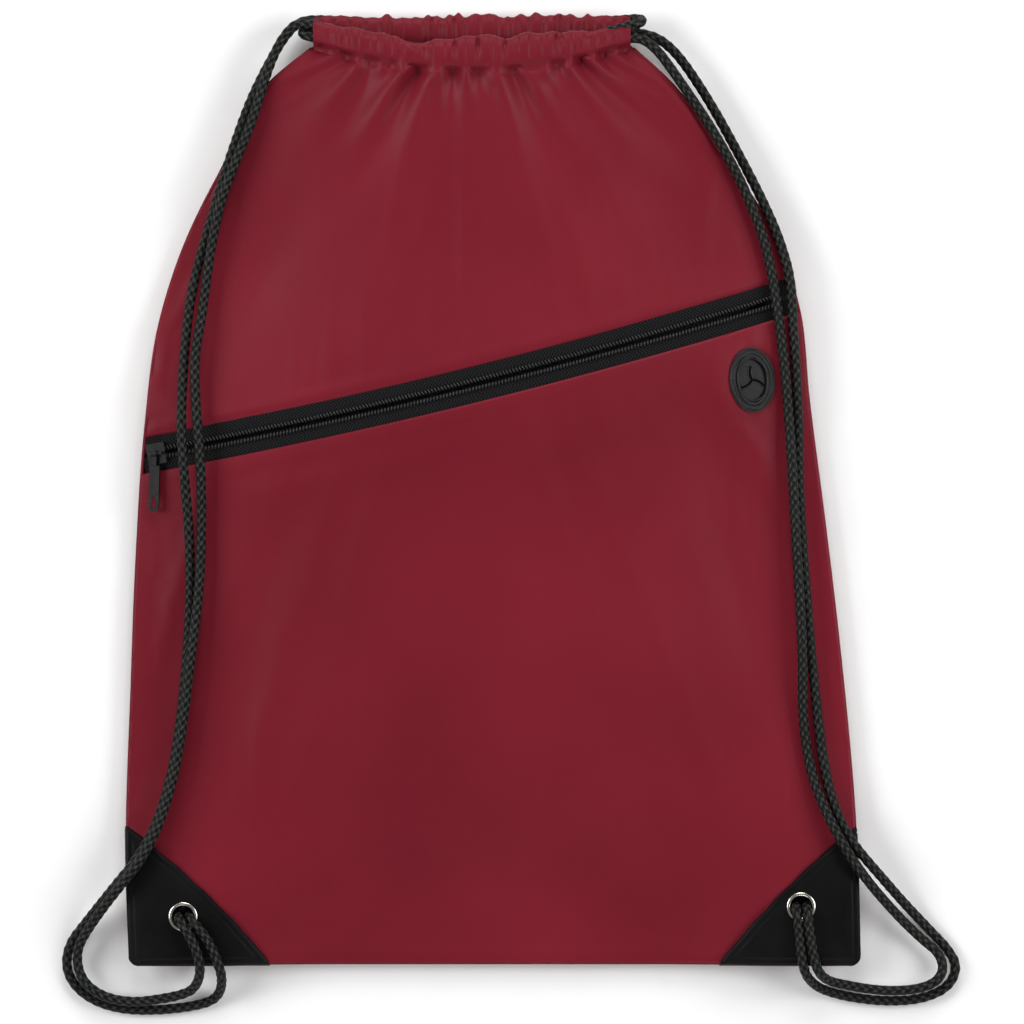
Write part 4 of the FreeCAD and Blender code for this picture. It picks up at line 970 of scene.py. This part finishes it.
def front_sheet(name, low_y, high_y, rows, columns, mouth, replaced):
    """One front panel: the frame's height, settled cloth, folds and puckers."""
    x, y = panel_grid(low_y, high_y, rows, columns)
    step = int(round(COARSE / (300.0 / columns)))
    coarse_x, coarse_y = x[::step, ::step], y[::step, ::step]
    coarse_z = front_top.heights(coarse_x, coarse_y)
    base = resample(np.stack([coarse_x, coarse_y, coarse_z], axis=2), rows, columns)[:, :, 2]
    detail_start = (undulations(coarse_x, coarse_y) * 0.6
                    + (mouth_folds(coarse_x, coarse_y) * 0.6 if mouth else 0.0))
    free = edge_distance(coarse_x, coarse_y)
    start = np.stack([coarse_x, coarse_y, coarse_z + detail_start * smooth(free / 12.0)], axis=2)
    pinned = 1.0 - smooth(free / 7.0)
    growth = 0.35 + (0.65 * smooth((coarse_y - 90.0) / 100.0) if mouth else 0.0 * coarse_y)
    moved = resample(relax_cloth(name + "_sheet", start, pinned, growth, 3.2), rows, columns)
    free = edge_distance(x, y)
    hold = smooth(free / 9.0)
    z = base + undulations(x, y) * smooth(free / 20.0) + puckers(x, y) * smooth((free + 2.5) / 5.0)
    if mouth:
        z = z + mouth_folds(x, y)
    x = x + moved[:, :, 0] * hold
    y = y + moved[:, :, 1] * hold
    z = z + moved[:, :, 2] * hold
    x, y = round_corners(x, y)
    z = under_cords(x, y, z)
    piece = open_sheet(name, x, y, z, port=not mouth)
    thicken(piece, FABRIC)
    return finish_piece(piece, "shell_fabric", replaced)


def upper_start(x):
    return fold_line_y(x, PANEL_EDGE)


def upper_end(x):
    return front_mouth_y(x) - CHANNEL_WIDE / 2.0 + 3.0


def lower_start(x):
    return np.full_like(x, BOTTOM)


def lower_end(x):
    return fold_line_y(x, -PANEL_EDGE)


front_sheet("upper_front_fabric", upper_start, upper_end, 170, 250, True, ["front_upper_panel"])
front_sheet("lower_front_fabric", lower_start, lower_end, 190, 240, False, ["front_lower_panel"])


def back_end(x):
    return back_mouth_y(x) - CHANNEL_WIDE / 2.0 + 2.0


def back_sheet():
    """The back panel: flat where it rests, with soft folds where it lifts."""
    rows, columns = 200, 170
    x, y = panel_grid(lower_start, back_end, rows, columns)
    step = 3
    coarse = back_under.heights(x[::step, ::step], y[::step, ::step])
    coarse = np.stack([coarse] * 3, axis=2)
    under = resample(coarse, rows, columns)[:, :, 0]
    lift = np.clip(under / 3.0, 0.0, 1.0)
    ripple = 0.5 * uneven_waves(x * 0.8 + y * 0.3, 21.0) + 0.3 * uneven_waves(y - x * 0.4, 34.0)
    gathers = 0.7 * uneven_waves(x, 7.5) * smooth((y - 150.0) / 60.0)
    under = np.clip(under + (ripple + gathers) * lift * 0.8, 0.0, None)
    x, y = round_corners(x, y)
    piece = open_sheet("back_fabric", x, y, under, flip=True)
    thicken(piece, FABRIC)
    return finish_piece(piece, "shell_fabric", ["back_panel"])


back_sheet()


def swept_strip(name, path, half_wide, half_tall, material, sides=10):
    """A soft flattened bead that follows points in mm."""
    path = np.array(path)
    tangents = np.gradient(path, axis=0)
    tangents /= np.linalg.norm(tangents, axis=1)[:, None]
    across = np.cross(tangents, (0.0, 0.0, 1.0))
    across /= np.linalg.norm(across, axis=1)[:, None]
    angles = np.arange(sides) * 2.0 * math.pi / sides
    half_tall = np.broadcast_to(half_tall, (len(path),))
    ring = (across[:, None, :] * np.cos(angles)[None, :, None] * half_wide
            + np.array([0.0, 0.0, 1.0])[None, None, :] * np.sin(angles)[None, :, None]
            * half_tall[:, None, None])
    verts = ((path[:, None, :] + ring) * MM).reshape(-1, 3)
    faces = grid_faces(len(path), sides, close_columns=True)
    faces.append(tuple(range(sides))[::-1])
    last = (len(path) - 1) * sides
    faces.append(tuple(range(last, last + sides)))
    return finish_piece(new_object(name, verts, faces), material)


def outline_points(inset):
    """The sewn outline, from the left end of the mouth round the bottom to the right end."""
    ys = np.linspace(205.0, BOTTOM + CORNER_ROUND, 150)
    left = [(left_seam(y) + inset, y) for y in ys]
    turn = np.linspace(math.pi, 1.5 * math.pi, 8)[1:-1]
    centre_y = BOTTOM + CORNER_ROUND
    bend = CORNER_ROUND - inset
    left_centre = float(left_seam(centre_y)) + CORNER_ROUND
    right_centre = float(right_seam(centre_y)) - CORNER_ROUND
    corner_left = [(left_centre + bend * math.cos(a), centre_y + bend * math.sin(a)) for a in turn]
    bottom = [(x, BOTTOM + inset) for x in np.linspace(left_centre, right_centre, 110)]
    corner_right = [(right_centre + bend * math.cos(a), centre_y + bend * math.sin(a))
                    for a in turn + math.pi / 2.0]
    right = [(right_seam(y) - inset, y) for y in ys[::-1]]
    return left + corner_left + bottom + corner_right + right


def seam_bead():
    """The closed seam: front, lining and back folded together along the sides and bottom."""
    spots = outline_points(0.7)
    low = np.array([back_under.height(x, y) for x, y in spots])
    high = np.array([front_top.height(x, y) for x, y in spots])
    middle = (low + high) / 2.0
    path = [(x, y, z) for (x, y), z in zip(spots, middle)]
    swept_strip("sewn_seam", path, 1.0, (high - low) / 2.0 + 0.05, "shell_fabric")


seam_bead()


def lining_sheet():
    """The pocket's inside, hanging a little lower than its frame solid in the middle."""
    rows, columns = 60, 70
    x, y = panel_grid(lower_start, lining_end, rows, columns)
    top = Surface("pocket_lining").heights(x, y)
    free = smooth(np.minimum(edge_distance(x, y), lining_end(x) - y + 4.0) / 30.0)
    z = top - 0.3 - 2.2 * free - 0.35 * (1.0 + uneven_waves(x + 0.4 * y, 26.0)) * free
    x, y = round_corners(x, y)
    piece = open_sheet("pocket_lining_fabric", x, y, z)
    thicken(piece, LINING_FABRIC)
    finish_piece(piece, "lining_fabric", ["pocket_lining"])


def lining_end(x):
    return fold_line_y(x, 24.0)


lining_sheet()

# ---------------------------------------------------------------- gathered channels

# Deep creases across the front channel and the back channel: X, depth and half width.
FRONT_CREASES = [
    (-76.0, 0.9, 1.6), (-69.0, 1.0, 1.2), (-57.9, 1.6, 1.6), (-54.2, 1.6, 1.2), (-47.6, 1.0, 1.2),
    (-42.5, 0.9, 1.4), (-36.8, 0.8, 1.2), (-31.8, 2.4, 1.1), (-28.6, 2.2, 0.8), (-24.0, 0.8, 1.4),
    (-17.9, 2.4, 0.9), (-13.4, 0.7, 1.2), (-7.4, 2.6, 0.9), (-1.0, 0.6, 1.4), (5.3, 2.2, 1.0),
    (11.2, 0.6, 1.5), (17.6, 0.9, 1.2), (23.5, 0.8, 1.2), (28.9, 2.4, 0.8), (31.6, 2.2, 0.9),
    (37.0, 0.8, 1.2), (44.8, 2.0, 1.4), (49.5, 0.9, 1.2), (54.6, 1.4, 1.2), (60.2, 0.9, 1.3),
]
BACK_CREASES = [
    (-80.0, 0.8, 1.0), (-74.4, 1.4, 1.1), (-66.8, 1.2, 0.9), (-59.4, 0.9, 1.1), (-52.1, 2.0, 0.8),
    (-47.4, 2.0, 0.7), (-40.5, 0.7, 1.8), (-31.5, 2.0, 0.7), (-28.6, 2.0, 0.6), (-24.4, 1.8, 0.8),
    (-22.5, 1.4, 0.6), (-18.1, 1.6, 0.7), (-13.3, 1.9, 0.8), (-6.6, 0.7, 1.0), (1.6, 0.7, 1.0),
    (6.2, 1.7, 0.7), (8.6, 1.5, 0.7), (11.4, 1.4, 0.7), (16.6, 1.8, 0.8), (23.4, 1.9, 0.8),
    (28.6, 1.9, 0.6), (31.2, 2.0, 0.6), (33.6, 1.8, 0.6), (36.4, 1.9, 0.6), (39.8, 1.8, 0.7),
    (42.3, 1.7, 0.6), (46.4, 1.3, 0.9), (50.5, 0.9, 1.0), (56.4, 1.0, 1.0), (61.0, 0.9, 0.9),
]
# Scallops of the gathered edges: X, height and half width.
FRONT_SCALLOPS = [
    (-77.0, 0.8, 3.0), (-64.0, 0.9, 3.5), (-50.5, 0.9, 2.6), (-45.0, 0.8, 2.0), (-26.0, 0.8, 3.0),
    (-13.0, 0.8, 2.6), (-1.0, 0.6, 3.6), (14.5, 1.2, 4.0), (27.0, 1.0, 3.0), (36.5, 1.0, 2.4),
    (41.0, 0.8, 2.2), (51.0, 0.9, 2.8), (60.0, 0.6, 2.4),
]
BACK_SCALLOPS = [
    (-77.6, 1.0, 2.6), (-70.7, 1.5, 3.6), (-63.6, 1.2, 3.2), (-56.0, 0.9, 2.6), (-49.6, 2.6, 2.4),
    (-42.0, 1.0, 3.0), (-36.0, 1.2, 2.4), (-30.4, 2.2, 2.2), (-26.2, 1.8, 1.9), (-20.6, 2.3, 2.2),
    (-16.1, 3.2, 2.1), (-9.0, 2.6, 3.4), (-1.5, 2.8, 4.6), (7.0, 1.4, 2.2), (12.6, 2.6, 2.6),
    (20.0, 3.4, 3.5), (26.0, 1.6, 2.2), (30.6, 2.8, 2.9), (36.0, 2.4, 2.4), (43.9, 2.4, 2.5),
    (49.0, 1.0, 2.2), (52.6, 1.4, 2.8), (60.0, 1.2, 2.6),
]
# Upper edges of the two hems, X and Y, before the scallops.
FRONT_EDGE = [
    (-83.6, 217.0), (-70.0, 214.6), (-52.7, 211.4), (-42.0, 208.4), (-36.5, 206.6), (-29.5, 207.6),
    (-15.6, 209.0), (-3.0, 210.4), (6.5, 208.8), (14.5, 210.8), (27.0, 211.4), (45.0, 212.4),
    (63.6, 214.2),
]
BACK_EDGE = [(-83.6, 219.6), (-50.0, 219.2), (-10.0, 219.2), (30.0, 219.2), (63.6, 219.6)]


def bumps(x, entries):
    total = np.zeros_like(x)
    for centre, high, half in entries:
        total += high * np.exp(-((x - centre) / half) ** 2)
    return total


def over_cords(x, y, z, middle_z):
    """A hem's front heights, lifted where the cord inside it would come through."""
    cords = np.vstack(list(cord_lines.values())) / MM
    cords = cords[cords[:, 1] > 190.0]
    for i in range(len(x)):
        near = cords[(np.abs(cords[:, 0] - x[i]) < 1.0) & (np.abs(cords[:, 2] - middle_z[i]) < 3.8)]
        if len(near) == 0:
            continue
        aside = np.abs(y[i][:, None] - near[None, :, 1])
        need = near[None, :, 2] + np.sqrt(np.clip(2.75 ** 2 - aside ** 2, 0.0, None)) + 0.25
        need = np.where(aside < 2.75, need, -100.0).max(axis=1)
        z[i] = np.maximum(z[i], need)
    return z


def channel_tube(name, mouth, creases, scallops, edge, panel, cad_node):
    """A gathered hem round its cord: creased across, ruffled on one side, running into
    the panel on the other."""
    end_y, sag, end_z, rise = mouth
    columns, sides = 520, 40
    x = np.linspace(CHANNEL_LEFT - 3.6, CHANNEL_RIGHT + 3.6, columns)
    place = (2.0 * x - CHANNEL_LEFT - CHANNEL_RIGHT) / (CHANNEL_RIGHT - CHANNEL_LEFT)
    middle_y = end_y - sag * (1.0 - place ** 2)
    middle_z = end_z + rise * (1.0 - place ** 2)
    angle = np.arange(sides) * 2.0 * math.pi / sides
    flat = np.abs(np.cos(angle)) ** 0.8 * np.sign(np.cos(angle))
    tall = np.abs(np.sin(angle)) ** 0.9 * np.sign(np.sin(angle))
    up, down = np.clip(flat, 0.0, 1.0)[None, :], np.clip(-flat, 0.0, 1.0)[None, :]
    front = np.clip(tall, 0.0, 1.0)[None, :]
    depth = bumps(x, creases)[:, None]
    fine = (0.22 * uneven_waves(x, 3.1) + 0.15 * uneven_waves(x + 11.0, 1.9))[:, None]
    lean = 0.10 * uneven_waves(x, 13.0)[:, None]
    top_edge = smooth_line([(y, x) for x, y in edge])(x) + bumps(x, scallops) - middle_y
    y = (middle_y[:, None] + up * top_edge[:, None] - down * (CHANNEL_WIDE / 2.0 + 2.5)
         + 0.4 * fine * up)
    z = middle_z[:, None] + tall[None, :] * CHANNEL_TALL / 2.0 + fine * 0.5 * tall[None, :]
    z = z - front * depth * (0.36 + 0.90 * np.maximum(down, up) ** 1.3)
    if panel is not None:
        low_y = middle_y - CHANNEL_WIDE / 2.0 - 2.5
        low_z = panel.heights(x, low_y) + mouth_folds(x, low_y)
        merge = smooth(down * 1.15)
        z = z * (1.0 - merge) + (low_z[:, None] - 0.35 + 0.25 * tall[None, :]) * merge
    z = np.where(front > 0.0, over_cords(x, y, z.copy(), middle_z), z)
    verts = np.stack([np.repeat(x[:, None], sides, axis=1) + lean * flat[None, :] * 4.0, y, z], axis=2)
    piece = new_object(name, verts.reshape(-1, 3) * MM, grid_faces(columns, sides, close_columns=True))
    return finish_piece(piece, "shell_fabric", [cad_node])


channel_tube("front_gathered_hem", FRONT_MOUTH, FRONT_CREASES, FRONT_SCALLOPS, FRONT_EDGE,
             front_top, "front_cord_channel")
channel_tube("back_gathered_hem", BACK_MOUTH, BACK_CREASES, BACK_SCALLOPS, BACK_EDGE,
             None, "back_cord_channel")

# ---------------------------------------------------------------- stitches


def stitch_row(name, spots, material, body="bag", long=2.4, gap=1.0, round_mm=0.62):
    """Stitches along points in mm: each a small plump grain that dips at both ends."""
    spots = np.array(spots)
    lengths = np.concatenate([[0.0], np.cumsum(np.linalg.norm(np.diff(spots, axis=0), axis=1))])
    count = max(1, int(lengths[-1] / (long + gap)))
    stations, sides = 7, 6
    angles = np.arange(sides) * 2.0 * math.pi / sides
    verts, faces = [], []
    for number in range(count):
        start = (number + 0.5) * lengths[-1] / count - long / 2.0
        marks = start + np.linspace(0.0, 1.0, stations) * long
        line = np.stack([np.interp(marks, lengths, spots[:, k]) for k in range(3)], axis=1)
        swell = np.sin(np.linspace(0.06, 0.94, stations) * math.pi) ** 0.6
        line[:, 2] += swell * 0.30 - 0.18
        run = line[-1] - line[0]
        side = np.cross(run, (0, 0, 1.0))
        side /= np.linalg.norm(side)
        base = len(verts)
        for point, plump in zip(line, swell):
            for a in angles:
                verts.append((point + (side * math.cos(a) + np.array([0, 0, math.sin(a)]))
                              * plump * round_mm / 2.0) * MM)
        faces += [tuple(base + i for i in face)
                  for face in grid_faces(stations, sides, close_columns=True)]
        faces.append(tuple(base + i for i in range(sides))[::-1])
        last = base + (stations - 1) * sides
        faces.append(tuple(last + i for i in range(sides)))
    return finish_piece(new_object(name, verts, faces, body), material)


# ---------------------------------------------------------------- corner patches

PATCH_HEM = 2.6            # stitch line inside a patch's edges


def corner_patch(side):
    """A vinyl triangle with turned edges, sewn down along all three of them."""
    surface = Surface(side + "_corner_patch", "front_lower_panel")
    seam, sign = (left_seam, 1.0) if side == "left" else (right_seam, -1.0)
    corner_x = (LEFT_SEAM if side == "left" else RIGHT_SEAM)[0][0]
    eyelet = LEFT_EYELET if side == "left" else RIGHT_EYELET
    rows, columns = 110, 110
    # s runs out from the corner, t from the bottom seam to the side seam
    s = np.linspace(0.0, 1.0, rows)[:, None]
    t = np.linspace(0.0, 1.0, columns)[None, :]
    span = math.hypot(PATCH_REACH, PATCH_CLIMB)
    bow = 4.0 * t * (1.0 - t) * PATCH_BOW
    along = s * ((1.0 - t) * PATCH_REACH + bow * PATCH_CLIMB / span)
    climb = s * (t * PATCH_CLIMB + bow * PATCH_REACH / span)
    y = BOTTOM + climb
    x = corner_x + sign * along + (seam(y) - corner_x) * (1.0 - along / PATCH_REACH)
    wave = 0.14 * uneven_waves((t - 0.5) * 110.0 + (7.0 if side == "left" else 31.0), 23.0)
    x = x + sign * wave * smooth((s - 0.8) / 0.2) * 0.8
    y = y + wave * smooth((s - 0.8) / 0.2)
    x, y = round_corners(x, y)
    to_diagonal = (1.0 - s) * (PATCH_REACH * PATCH_CLIMB / span + bow)
    to_bottom = climb + 0.0 * t
    to_side = along + 0.0 * t
    to_edge = np.minimum(np.minimum(to_diagonal, to_bottom), to_side)
    z = surface.heights(x, y)
    groove = -0.28 * np.exp(-((to_edge - PATCH_HEM) / 0.55) ** 2)
    roll = -0.45 * np.clip(1.0 - to_edge / 0.8, 0.0, 1.0) ** 2
    turned = 0.16 * smooth(to_edge / 1.0) * (1.0 - smooth((to_edge - 6.5) / 1.6))
    soft = 0.22 * uneven_waves(x * 0.7 + y, 19.0) * smooth(to_edge / 9.0)
    near = np.hypot(x - eyelet[0], y - eyelet[1])
    dimple = -0.35 * np.exp(-np.clip(near - 6.8, 0.0, None) / 2.2)
    z = under_cords(x, y, z + groove + roll + turned + soft + dimple)
    piece = open_sheet(side + "_vinyl_corner", x, y, z, flip=side == "right")
    thicken(piece, VINYL_SHEET)
    finish_piece(piece, "vinyl", [side + "_corner_patch"])

    def on_patch(px, py):
        return (px, py, surface.height(px, py) - 0.12)

    inset = PATCH_HEM
    top = BOTTOM + PATCH_CLIMB - inset * (1.0 + PATCH_CLIMB / PATCH_REACH)
    foot = PATCH_REACH - inset * (1.0 + PATCH_REACH / PATCH_CLIMB)
    side_row = [on_patch(float(seam(v)) + sign * inset, v)
                for v in np.linspace(BOTTOM + inset, top - 1.0, 40)]
    bottom_row = [on_patch(corner_x + sign * v, BOTTOM + inset)
                  for v in np.linspace(inset + 2.0, foot - 2.0, 50)]
    diagonal = []
    for v in np.linspace(0.05, 0.95, 60):
        out = (4.0 * v * (1.0 - v) * PATCH_BOW - inset) / span
        across = PATCH_REACH * (1.0 - v) + out * PATCH_CLIMB
        up = PATCH_CLIMB * v + out * PATCH_REACH
        if up > inset and across > inset:
            diagonal.append(on_patch(corner_x + sign * across, BOTTOM + up))
    for label, row in (("side", side_row), ("bottom", bottom_row), ("slant", diagonal)):
        stitch_row("%s_corner_%s_stitches" % (side, label), row, "thread")


for side in ("left", "right"):
    corner_patch(side)

# ---------------------------------------------------------------- eyelets


def lathe(name, profile, centre, sides=72):
    """A closed ring turned about +Z: the profile is (radius, height) in mm."""
    angles = np.arange(sides) * 2.0 * math.pi / sides
    verts = [((centre[0] + r * math.cos(a)) * MM, (centre[1] + r * math.sin(a)) * MM, h * MM)
             for r, h in profile for a in angles]
    faces = grid_faces(len(profile), sides, close_rows=True, close_columns=True)
    return new_object(name, verts, [face[::-1] for face in faces])


def eyelet(side, centre):
    """Rolled rim in front, barrel through the layers, flared back on its washer."""
    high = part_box(side + "_eyelet")[1][2] / MM
    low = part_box(side + "_eyelet_washer")[0][2] / MM
    washer_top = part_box(side + "_eyelet_washer")[1][2] / MM
    crown = [(5.9 + 0.9 * math.cos(a), high - 0.62 + 0.62 * math.sin(a))
             for a in np.linspace(-0.55, math.pi - 0.2, 14)]
    profile = crown + [(5.0, high - 1.0), (5.0, low + 0.1), (5.45, low + 0.1), (5.45, high - 1.2)]
    rim = lathe(side + "_eyelet_rim", profile, centre)
    finish_piece(rim, "eyelet_metal", [side + "_eyelet"])
    ring = [(6.15 + 0.62 * math.cos(a), (low + washer_top) / 2.0 + 0.35 * math.sin(a))
            for a in np.linspace(0.0, 2.0 * math.pi, 16, endpoint=False)]
    back = lathe(side + "_washer_ring", ring, centre)
    finish_piece(back, "eyelet_metal", [side + "_eyelet_washer"])


eyelet("left", LEFT_EYELET)
eyelet("right", RIGHT_EYELET)

# ---------------------------------------------------------------- zipper

TOOTH_PITCH = 1.55         # mm along the chain
TOOTH_ROUND = 0.94         # thickness of the coil's yarn
# One loop of the coil, from the tape to the chain's middle: sideways, height, slant along.
TOOTH_LOOP = [(2.75, 0.95, 0.0), (2.65, 1.45, 0.02), (2.35, 1.78, 0.08), (1.85, 1.88, 0.18),
              (1.40, 1.78, 0.28), (1.14, 1.42, 0.34), (1.12, 1.00, 0.36)]


def tooth_row(label, sign):
    """The loops of one coil, each a short bent yarn slanted along the tape."""
    node = label + "_zipper_coil"
    low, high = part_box(node)
    start = (low[0] / MM - zip_middle[0]) / zip_along[0] + 1.2
    end = (high[0] / MM - zip_middle[0]) / zip_along[0] - 1.2
    count = int((end - start) / TOOTH_PITCH)
    sides = 8
    verts, faces = [], []
    angles = np.arange(sides) * 2.0 * math.pi / sides
    for number in range(count):
        along = start + TOOTH_PITCH * (number + (0.5 if sign > 0 else 0.0))
        line = np.array([zip_point(along + slant * TOOTH_PITCH, sign * aside, up)
                         for aside, up, slant in TOOTH_LOOP])
        steps = np.gradient(line, axis=0)
        base = len(verts)
        for spot, step in zip(line, steps):
            step = step / np.linalg.norm(step)
            first = np.array([zip_along[0], zip_along[1], 0.0])
            first = first - step * np.dot(first, step)
            first /= np.linalg.norm(first)
            second = np.cross(step, first)
            for a in angles:
                verts.append(spot + (first * math.cos(a) * 0.96 + second * math.sin(a) * 0.8)
                             * TOOTH_ROUND / 2.0 * MM)
        faces += [tuple(base + i for i in face)
                  for face in grid_faces(len(line), sides, close_columns=True)]
        faces.append(tuple(base + i for i in range(sides))[::-1])
        faces.append(tuple(base + (len(line) - 1) * sides + i for i in range(sides)))
    piece = new_object(label + "_coil_loops", verts, faces)
    return finish_piece(piece, "zipper_coil", [node])


tooth_row("upper", 1.0)
tooth_row("lower", -1.0)


def port_point(u, v, w):
    """A point over the cable port's own plane: across, along and out of it, in mm."""
    turn = math.radians(PORT_TURN)
    slope = math.atan(PORT_SLOPE)
    across = (u * math.cos(turn) - v * math.sin(turn))
    x = across * math.cos(slope) - w * math.sin(slope)
    z = across * math.sin(slope) + w * math.cos(slope)
    return (PORT[0] + x, PORT[1] + u * math.sin(turn) + v * math.cos(turn), PORT[2] + z)


def port_ridges():
    """Raised ovals on the rubber's flange, and a lip on each side of its three slits."""
    verts, faces = [], []
    sides, columns = 8, 96
    for share, high, thick in ((0.935, 1.42, 0.42), (0.80, 1.44, 0.34), (0.655, 2.12, 0.40)):
        base = len(verts)
        for a in np.arange(columns) * 2.0 * math.pi / columns:
            for b in np.arange(sides) * 2.0 * math.pi / sides:
                wide = PORT_WIDE / 2.0 * share + thick * math.cos(b)
                tall = PORT_HIGH / 2.0 * share + thick * math.cos(b)
                verts.append(port_point(wide * math.cos(a), tall * math.sin(a),
                                        high + thick * 0.9 * math.sin(b)))
        faces += [tuple(base + i for i in face)
                  for face in grid_faces(columns, sides, close_rows=True, close_columns=True)]
    bend, reach = 7.0, 6.4
    drop = math.sqrt(bend ** 2 - reach ** 2 / 4.0)
    spread = math.asin(reach / 2.0 / bend)
    for turn in (90.0, 210.0, 330.0):
        c, n = math.cos(math.radians(turn)), math.sin(math.radians(turn))
        for beside in (0.72, -0.72):
            base = len(verts)
            arc = np.linspace(-spread * 0.80, spread * 0.98, 16)
            for a in arc:
                for b in np.arange(sides) * 2.0 * math.pi / sides:
                    out = bend + beside + 0.34 * math.cos(b)
                    u = reach / 2.0 + out * math.sin(a)
                    v = out * math.cos(a) - drop
                    verts.append(port_point(u * c - v * n, u * n + v * c, 0.66 + 0.32 * math.sin(b)))
            faces += [tuple(base + i for i in face)
                      for face in grid_faces(len(arc), sides, close_columns=True)]
            faces.append(tuple(base + i for i in range(sides))[::-1])
            faces.append(tuple(base + (len(arc) - 1) * sides + i for i in range(sides)))
    piece = new_object("port_ridges", np.array(verts) * MM, faces)
    return finish_piece(piece, "port_rubber")


port_ridges()


def soften(node, width_mm, segments=3):
    """Rounded edges on a CAD node that stays as it is."""
    piece = NODES[node]
    bevel = piece.modifiers.new("edges", "BEVEL")
    bevel.width = width_mm * MM
    bevel.segments = segments
    bevel.limit_method = "ANGLE"
    bevel.angle_limit = math.radians(40.0)


for node, width in (("zipper_slider", 0.28), ("zipper_pull", 0.25), ("earphone_port", 0.18)):
    soften(node, width)
for node, material in (("upper_zipper_tape", "zipper_tape"), ("lower_zipper_tape", "zipper_tape"),
                       ("zipper_slider", "slider_metal"), ("zipper_pull", "slider_metal"),
                       ("earphone_port", "port_rubber")):
    paint_node(node, material)
